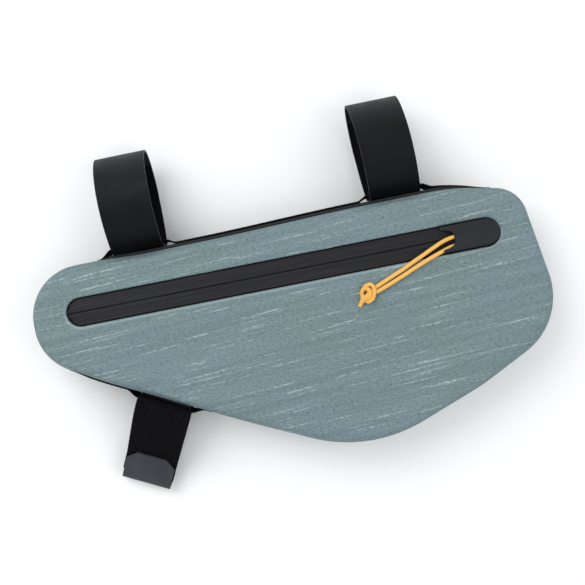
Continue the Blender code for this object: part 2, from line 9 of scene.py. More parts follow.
import functools
import logging
import math
from dataclasses import dataclass, field
from enum import Enum
from typing import Callable, Sequence

import bpy
import numpy as np
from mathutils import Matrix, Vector

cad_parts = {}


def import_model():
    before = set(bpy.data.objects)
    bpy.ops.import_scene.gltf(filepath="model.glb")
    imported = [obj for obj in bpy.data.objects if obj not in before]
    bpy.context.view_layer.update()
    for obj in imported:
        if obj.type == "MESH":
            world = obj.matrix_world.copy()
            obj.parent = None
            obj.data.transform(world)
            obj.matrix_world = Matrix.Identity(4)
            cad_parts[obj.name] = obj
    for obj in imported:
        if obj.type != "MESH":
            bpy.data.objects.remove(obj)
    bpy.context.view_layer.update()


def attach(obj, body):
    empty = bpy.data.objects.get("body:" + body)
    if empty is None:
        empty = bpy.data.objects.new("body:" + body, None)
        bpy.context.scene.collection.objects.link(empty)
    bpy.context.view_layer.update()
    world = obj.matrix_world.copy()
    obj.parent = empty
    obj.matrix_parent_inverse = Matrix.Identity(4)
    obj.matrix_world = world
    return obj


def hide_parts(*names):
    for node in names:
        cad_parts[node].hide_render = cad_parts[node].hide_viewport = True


LOG = logging.getLogger("frame_bag")
BODY = "root"
SEED = 11
TURN = 2 * math.pi

Row = Sequence[Sequence[float]]
Rate = tuple[float, float, float]
Colour = tuple[float, float, float, float]
Socket = bpy.types.NodeSocket


class Side(Enum):
    """A side of the zip or of a cord pair."""

    UPPER = 1
    LOWER = -1


class Layer(Enum):
    """A strap's place under the webbing, counted from the bag."""

    FIRST = 0
    SECOND = 1


# Modelling tools


def deselect_all() -> None:
    """Leave edit mode and deselect every object."""
    if bpy.context.object and bpy.context.object.mode != "OBJECT":
        bpy.ops.object.mode_set(mode="OBJECT")
    bpy.ops.object.select_all(action="DESELECT")


def make_active(piece: bpy.types.Object) -> None:
    """Select one piece alone and make it active."""
    deselect_all()
    piece.select_set(True)
    bpy.context.view_layer.objects.active = piece


def surface_from_rows(name: str, rows: Row, wrapped: bool, closed: bool) -> bpy.types.Object:
    """Shape a grid primitive so that its lines run through rows of points.

    Args:
        name: The piece's name.
        rows: Rows of equally many points, in metres.
        wrapped: True where each row is a ring, whose seam is then merged.
        closed: True where the last row meets the first.

    Returns:
        The new piece, with the grid's UV map.
    """
    table = np.array([[tuple(point) for point in row] for row in rows], dtype=float)
    if wrapped:
        table = np.concatenate([table, table[:, :1]], axis=1)
    if closed:
        table = np.concatenate([table, table[:1]], axis=0)
    lines, columns = table.shape[:2]
    deselect_all()
    bpy.ops.mesh.primitive_grid_add(
        x_subdivisions=columns - 1, y_subdivisions=lines - 1, size=1.0, location=(0, 0, 0)
    )
    piece = bpy.context.active_object
    piece.name = name
    piece.data.name = name
    count = len(piece.data.vertices)
    if count != lines * columns:
        raise ValueError(f"{name}: the grid has {count} points for {lines * columns} places")
    flat = np.empty(count * 3)
    piece.data.vertices.foreach_get("co", flat)
    grid = flat.reshape(-1, 3)
    column = np.rint((grid[:, 0] + 0.5) * (columns - 1)).astype(int)
    line = np.rint((grid[:, 1] + 0.5) * (lines - 1)).astype(int)
    piece.data.vertices.foreach_set("co", table[line, column].ravel())
    piece.data.update()
    if wrapped or closed:
        bpy.ops.object.mode_set(mode="EDIT")
        bpy.ops.mesh.select_all(action="SELECT")
        bpy.ops.mesh.remove_doubles(threshold=0.000002)
        bpy.ops.object.mode_set(mode="OBJECT")
    return piece


def close_solid(piece: bpy.types.Object) -> None:
    """Fill a piece's open ends and turn its faces outwards.

    Args:
        piece: The piece.
    """
    make_active(piece)
    bpy.ops.object.mode_set(mode="EDIT")
    bpy.ops.mesh.select_all(action="SELECT")
    bpy.ops.mesh.fill_holes(sides=0)
    bpy.ops.mesh.select_all(action="SELECT")
    bpy.ops.mesh.normals_make_consistent(inside=False)
    bpy.ops.object.mode_set(mode="OBJECT")


def shade(piece: bpy.types.Object, degrees: float = 40.0) -> None:
    """Shade a piece smooth, with its corners kept sharp."""
    make_active(piece)
    bpy.ops.object.shade_smooth_by_angle(angle=math.radians(degrees))


def apply_modifiers(piece: bpy.types.Object) -> None:
    """Apply every modifier of a piece, in order."""
    make_active(piece)
    for modifier in list(piece.modifiers):
        bpy.ops.object.modifier_apply(modifier=modifier.name)


def join_pieces(pieces: Sequence[bpy.types.Object], name: str) -> bpy.types.Object:
    """Join several pieces into the first, under one name.

    Args:
        pieces: The pieces.
        name: The name of the result.

    Returns:
        The joined piece.
    """
    deselect_all()
    for piece in pieces:
        piece.select_set(True)
    bpy.context.view_layer.objects.active = pieces[0]
    bpy.ops.object.join()
    pieces[0].name = name
    pieces[0].data.name = name
    return pieces[0]


def point_attribute(piece: bpy.types.Object, name: str, rule: Callable[[Vector], float]) -> None:
    """Store a number on each point of a piece, for its material to read.

    Args:
        piece: The piece.
        name: The attribute's name.
        rule: Gives the number at a point.
    """
    attribute = piece.data.attributes.new(name, "FLOAT", "POINT")
    values = [rule(vertex.co) for vertex in piece.data.vertices]
    attribute.data.foreach_set("value", values)


def metre_map(piece: bpy.types.Object, rule: Callable[[Vector], tuple[float, float]]) -> None:
    """Give a piece a UV map in metres, from the place of each point."""
    layer = piece.data.uv_layers.active.data
    for corner, loop in zip(layer, piece.data.loops):
        corner.uv = rule(piece.data.vertices[loop.vertex_index].co)


def smooth_route(rows: Row, steps: int) -> list[Vector]:
    """Return points on a smooth curve through every row.

    Args:
        rows: The places that the curve passes.
        steps: How many points each stretch between two rows gets.

    Returns:
        The curve's points, from the first row to the last.
    """
    knots = [Vector(row) for row in rows]
    knots = [2 * knots[0] - knots[1]] + knots + [2 * knots[-1] - knots[-2]]
    points = []
    for i in range(1, len(knots) - 2):
        before, start, end, after = knots[i - 1 : i + 3]
        for k in range(steps):
            t = k / steps
            square = 2 * before - 5 * start + 4 * end - after
            cube = start * 3 - before - end * 3 + after
            points.append((start * 2 + (end - before) * t + square * t * t + cube * t**3) / 2)
    points.append(knots[-2])
    return points


def travelled_lengths(points: Sequence[Vector]) -> np.ndarray:
    """Return how far along a route each of its points lies."""
    steps = [(b - a).length for a, b in zip(points, points[1:])]
    return np.concatenate([[0.0], np.cumsum(steps)])


def resample(points: Sequence[Vector], step: float) -> list[Vector]:
    """Space points evenly along a route.

    Args:
        points: The route.
        step: The wanted distance between two points.

    Returns:
        The new points, with both ends kept.
    """
    lengths = travelled_lengths(points)
    count = max(2, round(lengths[-1] / step))
    places = np.linspace(0.0, lengths[-1], count + 1)
    table = np.array([tuple(point) for point in points])
    axes = [np.interp(places, lengths, table[:, k]) for k in range(table.shape[1])]
    return [Vector(place) for place in zip(*axes)]


def route_length(points: Sequence[Vector]) -> float:
    """Return a route's length."""
    return sum((b - a).length for a, b in zip(points, points[1:]))


def flat_normals(points: Sequence[Vector]) -> list[Vector]:
    """Work out the sideways directions of a flat route.

    Args:
        points: The route, with x and y only.

    Returns:
        The unit normal to the left at each point.
    """
    normals = []
    for i in range(len(points)):
        along = points[min(len(points) - 1, i + 1)] - points[max(0, i - 1)]
        along.normalize()
        normals.append(Vector((-along.y, along.x)))
    return normals


def offset_route(points: Sequence[Vector], distance: float) -> list[Vector]:
    """Move a flat route sideways, to its left for a positive distance."""
    return [point + normal * distance for point, normal in zip(points, flat_normals(points))]


def soft_step(value: float, low: float, high: float) -> float:
    """Return 0 below low, 1 above high, and a smooth rise between them."""
    share = min(1.0, max(0.0, (value - low) / (high - low)))
    return share * share * (3 - 2 * share)


# Node tools


class NodeSheet:
    """Adds nodes to one tree and links them."""

    def __init__(self, tree: bpy.types.NodeTree) -> None:
        """Take the tree to work in."""
        self.tree = tree

    def add(self, kind: str, **settings: object) -> bpy.types.Node:
        """Add a node of a kind and give its properties their values."""
        node = self.tree.nodes.new(kind)
        for name, value in settings.items():
            setattr(node, name, value)
        return node

    def feed(self, target: Socket, source: object) -> None:
        """Give a socket a link from another socket, or a plain value."""
        if isinstance(source, bpy.types.NodeSocket):
            self.tree.links.new(source, target)
        else:
            target.default_value = source

    def math(self, operation: str, first: object, second: object = 0.0) -> Socket:
        """Return the output of a Math node.

        Args:
            operation: The node's operation.
            first: Its first value.
            second: Its second value.

        Returns:
            The output's socket.
        """
        node = self.add("ShaderNodeMath", operation=operation)
        self.feed(node.inputs[0], first)
        self.feed(node.inputs[1], second)
        return node.outputs[0]

    def ramp(self, value: Socket, low: float, high: float, start: float, end: float) -> Socket:
        """Map a value smoothly from one range to another.

        Args:
            value: The value.
            low: Where the first range starts.
            high: Where it ends.
            start: The result at low and below.
            end: The result at high and above.

        Returns:
            The result's socket.
        """
        node = self.add("ShaderNodeMapRange", interpolation_type="SMOOTHSTEP")
        self.feed(node.inputs["Value"], value)
        limits = {"From Min": low, "From Max": high, "To Min": start, "To Max": end}
        for name, number in limits.items():
            node.inputs[name].default_value = number
        return node.outputs["Result"]

    def mix(self, share: object, first: object, second: object) -> Socket:
        """Return a mix of two colours.

        Args:
            share: How much of the second colour shows.
            first: The first colour.
            second: The second colour.

        Returns:
            The mixed colour's socket.
        """
        node = self.add("ShaderNodeMix", data_type="RGBA")
        self.feed(node.inputs[0], share)
        self.feed(node.inputs[6], first)
        self.feed(node.inputs[7], second)
        return node.outputs[2]

    def shaded(self, colour: Socket, factor: Socket) -> Socket:
        """Return a colour multiplied by a factor.

        Args:
            colour: The colour.
            factor: What it is multiplied by.

        Returns:
            The new colour's socket.
        """
        node = self.add("ShaderNodeVectorMath", operation="SCALE")
        self.feed(node.inputs[0], colour)
        self.feed(node.inputs["Scale"], factor)
        return node.outputs[0]

    def noise(self, vector: Socket, scale: object, detail: float = 2.0) -> Socket:
        """Return a noise value at a place.

        Args:
            vector: The place.
            scale: How many features a unit holds.
            detail: How many finer layers it has.

        Returns:
            The value's socket.
        """
        node = self.add("ShaderNodeTexNoise")
        self.feed(node.inputs["Vector"], vector)
        self.feed(node.inputs["Scale"], scale)
        node.inputs["Detail"].default_value = detail
        return node.outputs[0]

    def stretch(self, vector: Socket, scale: Sequence[float]) -> Socket:
        """Return a vector scaled on each axis.

        Args:
            vector: The vector.
            scale: Its scale on each axis.

        Returns:
            The new vector's socket.
        """
        node = self.add("ShaderNodeMapping")
        self.feed(node.inputs["Vector"], vector)
        node.inputs["Scale"].default_value = tuple(scale)
        return node.outputs[0]

    def group(self, tree: bpy.types.NodeTree, **values: object) -> bpy.types.Node:
        """Place a node group and feed its named inputs."""
        node = self.add("ShaderNodeGroup", node_tree=tree)
        for name, value in values.items():
            self.feed(node.inputs[name.replace("_", " ").title()], value)
        return node


class GroupSheet(NodeSheet):
    """Builds one shared node group with named sockets."""

    def __init__(self, name: str, inputs: dict[str, str], outputs: Sequence[str]) -> None:
        """Make the group.

        Args:
            name: The group's name.
            inputs: Input names and their socket kinds.
            outputs: Output names, all plain values.
        """
        super().__init__(bpy.data.node_groups.new(name, "ShaderNodeTree"))
        for label, kind in inputs.items():
            self.tree.interface.new_socket(label, in_out="INPUT", socket_type=kind)
        for label in outputs:
            self.tree.interface.new_socket(label, in_out="OUTPUT", socket_type="NodeSocketFloat")
        self.entry = self.add("NodeGroupInput").outputs
        self.exit = self.add("NodeGroupOutput").inputs


class Effects:
    """The shader effects that more than one finish uses."""

    def __init__(self) -> None:
        """Build each shared node group once."""
        self.weave = self._weave()
        self.grain = self._grain()

    def _weave(self) -> bpy.types.NodeTree:
        """Return a plain weave of threads that cross at a pitch."""
        kinds = {"Vector": "NodeSocketVector", "Pitch": "NodeSocketFloat"}
        sheet = GroupSheet("thread_weave", kinds, ("Height", "Shade"))
        split = sheet.add("ShaderNodeSeparateXYZ")
        sheet.feed(split.inputs[0], sheet.entry["Vector"])
        rate = sheet.math("DIVIDE", TURN, sheet.entry["Pitch"])
        depth = sheet.math("ADD", split.outputs["Y"], split.outputs["Z"])
        warp = sheet.math("SINE", sheet.math("MULTIPLY", split.outputs["X"], rate))
        weft = sheet.math("SINE", sheet.math("MULTIPLY", depth, rate))
        cross = sheet.math("MULTIPLY", warp, weft)
        height = sheet.math("MULTIPLY_ADD", cross, 0.5)
        height.node.inputs[2].default_value = 0.5
        sheet.feed(sheet.exit["Height"], height)
        sheet.feed(sheet.exit["Shade"], sheet.math("POWER", height, 0.5))
        return sheet.tree

    def _grain(self) -> bpy.types.NodeTree:
        """Return a fine even grain and a broad unevenness."""
        kinds = {"Vector": "NodeSocketVector", "Size": "NodeSocketFloat"}
        sheet = GroupSheet("fine_grain", kinds, ("Height", "Cloud"))
        rate = sheet.math("DIVIDE", 1.0, sheet.entry["Size"])
        sheet.feed(sheet.exit["Height"], sheet.noise(sheet.entry["Vector"], rate, 3.0))
        broad = sheet.noise(sheet.entry["Vector"], sheet.math("MULTIPLY", rate, 0.03), 2.0)
        sheet.feed(sheet.exit["Cloud"], sheet.ramp(broad, 0.35, 0.65, 0.0, 1.0))
        return sheet.tree


@dataclass(frozen=True)
class Finish:
    """One finish: its slot in the record, and its base colour and gloss."""

    name: str
    slot: str
    colour: tuple[float, float, float]
    roughness: float
    gloss: float = 0.5

    def build(self, effects: Effects) -> bpy.types.Material:
        """Return the finish as a material.

        Args:
            effects: The shared node groups.

        Returns:
            The material.
        """
        material = bpy.data.materials.new(self.name)
        material.use_nodes = True
        sheet = NodeSheet(material.node_tree)
        shader = material.node_tree.nodes["Principled BSDF"]
        shader.inputs["Base Color"].default_value = (*self.colour, 1.0)
        shader.inputs["Roughness"].default_value = self.roughness
        shader.inputs["Specular IOR Level"].default_value = self.gloss
        places = sheet.add("ShaderNodeTexCoord")
        self.detail(sheet, shader.inputs, places.outputs, effects)
        return material

    def detail(self, sheet: NodeSheet, shader: object, places: object, effects: Effects) -> None:
        """Add the finish's own nodes, of which a plain finish has none.

        Args:
            sheet: The material's nodes.
            shader: The shader's inputs.
            places: The outputs of Texture Coordinate.
            effects: The shared node groups.
        """

    def tint(self, factor: float) -> Colour:
        """Return the base colour made lighter or darker."""
        red, green, blue = (min(1.0, part * factor) for part in self.colour)
        return (red, green, blue, 1.0)

    @staticmethod
    def bump(
        sheet: NodeSheet, shader: object, height: Socket, depth: float, strength: float
    ) -> None:
        """Feed a height to the shader's normal.

        Args:
            sheet: The material's nodes.
            shader: The shader's inputs.
            height: The height, about 0 to 1.
            depth: What a height of 1 is worth, in metres.
            strength: The bump's strength.
        """
        node = sheet.add("ShaderNodeBump")
        node.inputs["Strength"].default_value = strength
        node.inputs["Distance"].default_value = depth
        sheet.feed(node.inputs["Height"], height)
        sheet.feed(shader["Normal"], node.outputs["Normal"])


@dataclass(frozen=True)
class ClothFinish(Finish):
    """Coated cloth with slub threads, patterned by a UV map in metres."""

    pitch: float = 0.0007
    pale_thread: Colour = (0.46, 0.53, 0.54, 1.0)
    green_cast: Colour = (0.170, 0.238, 0.234, 1.0)
    # how many features a metre holds, along and across the threads
    grain_rate: Rate = (420, 1000, 1)
    fleck_rate: Rate = (330, 950, 1)
    thread_rate: Rate = (17, 620, 1)
    dash_rate: Rate = (260, 700, 1)
    band_rate: Rate = (7, 190, 1)
    cloud_rate: float = 13.0

    def detail(self, sheet: NodeSheet, shader: object, places: object, effects: Effects) -> None:
        """Add grain, dark flecks, broken pale threads, soft bands and a painted highlight under
        the zip.

        Args:
            sheet: The material's nodes.
            shader: The shader's inputs.
            places: The outputs of Texture Coordinate.
            effects: The shared node groups.
        """
        spot = places["UV"]
        grain = sheet.noise(sheet.stretch(spot, self.grain_rate), 1.0, 3.0)
        fleck = sheet.noise(sheet.stretch(spot, self.fleck_rate), 1.0, 1.0)
        thread = sheet.noise(sheet.stretch(spot, self.thread_rate), 1.0, 1.0)
        dash = sheet.noise(sheet.stretch(spot, self.dash_rate), 1.0, 1.0)
        band = sheet.noise(sheet.stretch(spot, self.band_rate), 1.0, 2.0)
        cloud = sheet.ramp(sheet.noise(spot, self.cloud_rate, 2.0), 0.35, 0.65, 0.0, 0.8)
        colour = sheet.mix(cloud, self.tint(1.0), self.green_cast)
        colour = sheet.shaded(colour, sheet.ramp(band, 0.3, 0.7, 0.93, 1.07))
        colour = sheet.shaded(colour, sheet.ramp(grain, 0.3, 0.7, 0.83, 1.17))
        colour = sheet.shaded(colour, sheet.ramp(fleck, 0.28, 0.42, 0.70, 1.0))
        line = sheet.ramp(thread, 0.60, 0.69, 0.0, 1.0)
        line = sheet.math("MULTIPLY", line, sheet.ramp(dash, 0.40, 0.58, 0.1, 1.0))
        # painted highlight: a pale line on the lip under the zip
        painted_highlight = sheet.add("ShaderNodeAttribute", attribute_name="painted_highlight_fold").outputs["Fac"]
        for share, strength in ((line, 0.62), (painted_highlight, 0.40)):
            colour = sheet.mix(sheet.math("MULTIPLY", share, strength), colour, self.pale_thread)
        sheet.feed(shader["Base Color"], colour)
        weave = sheet.group(effects.weave, vector=spot, pitch=self.pitch)
        height = sheet.math("ADD", weave.outputs["Height"], grain)
        height = sheet.math("ADD", height, line)
        rough = sheet.ramp(grain, 0.3, 0.7, self.roughness - 0.06, self.roughness + 0.06)
        sheet.feed(shader["Roughness"], rough)
        self.bump(sheet, shader, height, 0.00012, 0.6)


@dataclass(frozen=True)
class TapeFinish(Finish):
    """Coated zip tape with painted sheen streaks along it and painted black shade in its recess.
    """

    # colour of the painted shade in the recess
    recess_shade_colour: Colour = (0.0015, 0.0015, 0.0020, 1.0)
    sheen_streak_rate: Rate = (22, 900, 300)
    broad_rate: Rate = (9, 160, 1)

    def detail(self, sheet: NodeSheet, shader: object, places: object, effects: Effects) -> None:
        """Add paler streaks along the tape as a painted sheen, a fine grain and painted black
        shade in the recess.

        Args:
            sheet: The material's nodes.
            shader: The shader's inputs.
            places: The outputs of Texture Coordinate.
            effects: The shared node groups.
        """
        spot = places["Object"]
        sheen_streak = sheet.noise(sheet.stretch(spot, self.sheen_streak_rate), 1.0, 2.0)
        broad = sheet.noise(sheet.stretch(spot, self.broad_rate), 1.0, 1.0)
        # painted sheen: paler streaks along the tape, with lower roughness on the same streaks
        painted_sheen = sheet.ramp(sheen_streak, 0.50, 0.72, 0.0, 0.45)
        colour = sheet.mix(painted_sheen, self.tint(0.95), self.tint(1.9))
        colour = sheet.shaded(colour, sheet.ramp(broad, 0.35, 0.65, 0.88, 1.12))
        # painted shade: black under the slot's edge and darker along the seam between the tapes
        recess = sheet.add("ShaderNodeAttribute", attribute_name="recess").outputs["Fac"]
        sheet.feed(shader["Base Color"], sheet.mix(recess, colour, self.recess_shade_colour))
        grain = sheet.group(effects.grain, vector=spot, size=0.0006)
        gloss = sheet.ramp(sheen_streak, 0.4, 0.7, self.roughness, self.roughness - 0.08)
        sheet.feed(shader["Roughness"], sheet.math("ADD", gloss, recess))
        self.bump(sheet, shader, grain.outputs["Height"], 0.00004, 0.4)


@dataclass(frozen=True)
class RubberFinish(Finish):
    """Smooth coated or moulded rubber: a paler cut edge, painted shade and painted highlight."""

    grain_size: float = 0.0005
    edge_colour: Colour = (0.11, 0.115, 0.12, 1.0)
    # True also paints shade and highlight along the strap from an attribute
    has_edge_and_painted_light: bool = True

    def detail(self, sheet: NodeSheet, shader: object, places: object, effects: Effects) -> None:
        """Add a soft grain, faint smudges, painted shade and painted highlight, and the cut edge.

        Args:
            sheet: The material's nodes.
            shader: The shader's inputs.
            places: The outputs of Texture Coordinate.
            effects: The shared node groups.
        """
        grain = sheet.group(effects.grain, vector=places["Object"], size=self.grain_size)
        cloud = grain.outputs["Cloud"]
        colour = sheet.mix(cloud, self.tint(0.9), self.tint(1.12))
        if self.has_edge_and_painted_light:
            # painted light: darkened for painted shade at the strap's foot, brightened for a
            # painted highlight at its bend and tab
            light = sheet.add("ShaderNodeAttribute", attribute_name="painted_light_share").outputs["Fac"]
            edge = sheet.add("ShaderNodeAttribute", attribute_name="pale_edge").outputs["Fac"]
            colour = sheet.shaded(colour, light)
            colour = sheet.mix(sheet.math("MULTIPLY", edge, 0.5), colour, self.edge_colour)
        sheet.feed(shader["Base Color"], colour)
        rough = sheet.ramp(cloud, 0.0, 1.0, self.roughness - 0.05, self.roughness + 0.05)
        sheet.feed(shader["Roughness"], rough)
        self.bump(sheet, shader, grain.outputs["Height"], 0.00003, 0.35)


@dataclass(frozen=True)
class PileFinish(Finish):
    """Deep black loop pile that takes the light unevenly, with a woven selvedge."""

    selvedge_colour: Colour = (0.055, 0.055, 0.058, 1.0)

    def detail(self, sheet: NodeSheet, shader: object, places: object, effects: Effects) -> None:
        """Add clumped loops, a fuzzy height and the selvedge.

        Args:
            sheet: The material's nodes.
            shader: The shader's inputs.
            places: The outputs of Texture Coordinate.
            effects: The shared node groups.
        """
        grain = sheet.group(effects.grain, vector=places["Object"], size=0.0009)
        height = grain.outputs["Height"]
        clump = sheet.ramp(height, 0.35, 0.68, 0.0, 1.0)
        colour = sheet.mix(clump, self.tint(0.5), self.tint(2.4))
        edge = sheet.add("ShaderNodeAttribute", attribute_name="pale_edge").outputs["Fac"]
        line = sheet.math("MULTIPLY", edge, sheet.ramp(height, 0.4, 0.6, 0.3, 1.0))
        sheet.feed(shader["Base Color"], sheet.mix(line, colour, self.selvedge_colour))
        self.bump(sheet, shader, height, 0.0004, 0.8)


@dataclass(frozen=True)
class WebbingFinish(Finish):
    """Woven webbing or backing strip with fine crossing threads."""

    pitch: float = 0.0011

    def detail(self, sheet: NodeSheet, shader: object, places: object, effects: Effects) -> None:
        """Add the weave's shade and height.

        Args:
            sheet: The material's nodes.
            shader: The shader's inputs.
            places: The outputs of Texture Coordinate.
            effects: The shared node groups.
        """
        spot = places["Object"]
        weave = sheet.group(effects.weave, vector=spot, pitch=self.pitch)
        grain = sheet.group(effects.grain, vector=spot, size=0.0004)
        colour = sheet.mix(weave.outputs["Shade"], self.tint(0.55), self.tint(1.5))
        sheet.feed(shader["Base Color"], colour)
        height = sheet.math("ADD", weave.outputs["Height"], grain.outputs["Height"])
        self.bump(sheet, shader, height, 0.00015, 0.7)


@dataclass(frozen=True)
class CordFinish(Finish):
    """Braided cord, patterned by the tube's own UV map."""

    strands: float = 5.0
    shade_colour: Colour = (0.62, 0.235, 0.030, 1.0)

    def detail(self, sheet: NodeSheet, shader: object, places: object, effects: Effects) -> None:
        """Add the braid's crossing strands and fine fibre noise.

        Args:
            sheet: The material's nodes.
            shader: The shader's inputs.
            places: The outputs of Texture Coordinate.
            effects: The shared node groups.
        """
        split = sheet.add("ShaderNodeSeparateXYZ")
        sheet.feed(split.inputs[0], places["UV"])
        turns = sheet.math("MULTIPLY", split.outputs["X"], TURN * self.strands)
        advance = sheet.math("MULTIPLY", split.outputs["Y"], TURN)
        left = sheet.math("SINE", sheet.math("ADD", turns, advance))
        right = sheet.math("SINE", sheet.math("SUBTRACT", turns, advance))
        cross = sheet.math("MULTIPLY", left, right)
        fibre = sheet.group(effects.grain, vector=places["Object"], size=0.0003)
        share = sheet.ramp(cross, -0.9, 0.5, 0.0, 1.0)
        colour = sheet.mix(share, self.shade_colour, self.tint(1.0))
        soft = sheet.ramp(fibre.outputs["Height"], 0.35, 0.65, 0.0, 0.35)
        colour = sheet.mix(soft, colour, self.tint(1.25))
        sheet.feed(shader["Base Color"], colour)
        height = sheet.math("ADD", cross, fibre.outputs["Height"])
        self.bump(sheet, shader, height, 0.00010, 0.5)


@dataclass(frozen=True)
class MetalFinish(Finish):
    """Dark painted cast metal."""

    def detail(self, sheet: NodeSheet, shader: object, places: object, effects: Effects) -> None:
        """Add a cast grain to a metallic finish.

        Args:
            sheet: The material's nodes.
            shader: The shader's inputs.
            places: The outputs of Texture Coordinate.
            effects: The shared node groups.
        """
        shader["Metallic"].default_value = 0.9
        grain = sheet.group(effects.grain, vector=places["Object"], size=0.0008)
        sheet.feed(shader["Roughness"], sheet.ramp(grain.outputs["Height"], 0.3, 0.7, 0.3, 0.5))


class Workshop:
    """Holds the built finishes and hands a finished piece over."""

    FINISHES = (
        ClothFinish("teal_cloth", "fabric", (0.169, 0.238, 0.262), 0.78, 0.25),
        TapeFinish("coated_tape", "coated_tape", (0.0140, 0.0140, 0.0172), 0.52, 0.20),
        RubberFinish(
            "garage_rubber", "garage_rubber", (0.0165, 0.0180, 0.0205), 0.48, 0.20, has_edge_and_painted_light=False
        ),
        MetalFinish("slider_metal", "slider_metal", (0.05, 0.05, 0.055), 0.40),
        CordFinish("braided_cord", "cord", (0.97, 0.56, 0.15), 0.80, 0.30),
        WebbingFinish("black_webbing", "webbing", (0.005, 0.005, 0.006), 0.85, 0.08),
        WebbingFinish(
            "grey_strip", "base_strip", (0.028, 0.029, 0.031), 0.80, 0.10, pitch=0.0016
        ),
        RubberFinish("strap_rubber", "strap_rubber", (0.0100, 0.0106, 0.0130), 0.50, 0.14),
        PileFinish("strap_pile", "strap_pile", (0.0038, 0.0037, 0.0045), 0.95, 0.05),
    )

    def __init__(self) -> None:
        """Build every finish once."""
        effects = Effects()
        self.materials = {finish.slot: finish.build(effects) for finish in self.FINISHES}

    def dress(self, piece: bpy.types.Object, slot: str) -> None:
        """Give a piece its material and nothing else."""
        piece.data.materials.clear()
        piece.data.materials.append(self.materials[slot])

    def hand_over(self, piece: bpy.types.Object, slot: str, *nodes: str) -> bpy.types.Object:
        """Dress a piece, ride it on the bag and let it stand for its nodes.

        Args:
            piece: The finished piece.
            slot: The record's material slot.
            nodes: The solids that the piece stands for.

        Returns:
            The same piece.
        """
        self.dress(piece, slot)
        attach(piece, BODY)
        if nodes:
            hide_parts(*nodes)
        LOG.info("%s: %d points, for %s", piece.name, len(piece.data.vertices), ", ".join(nodes))
        return piece


# The bag's outline


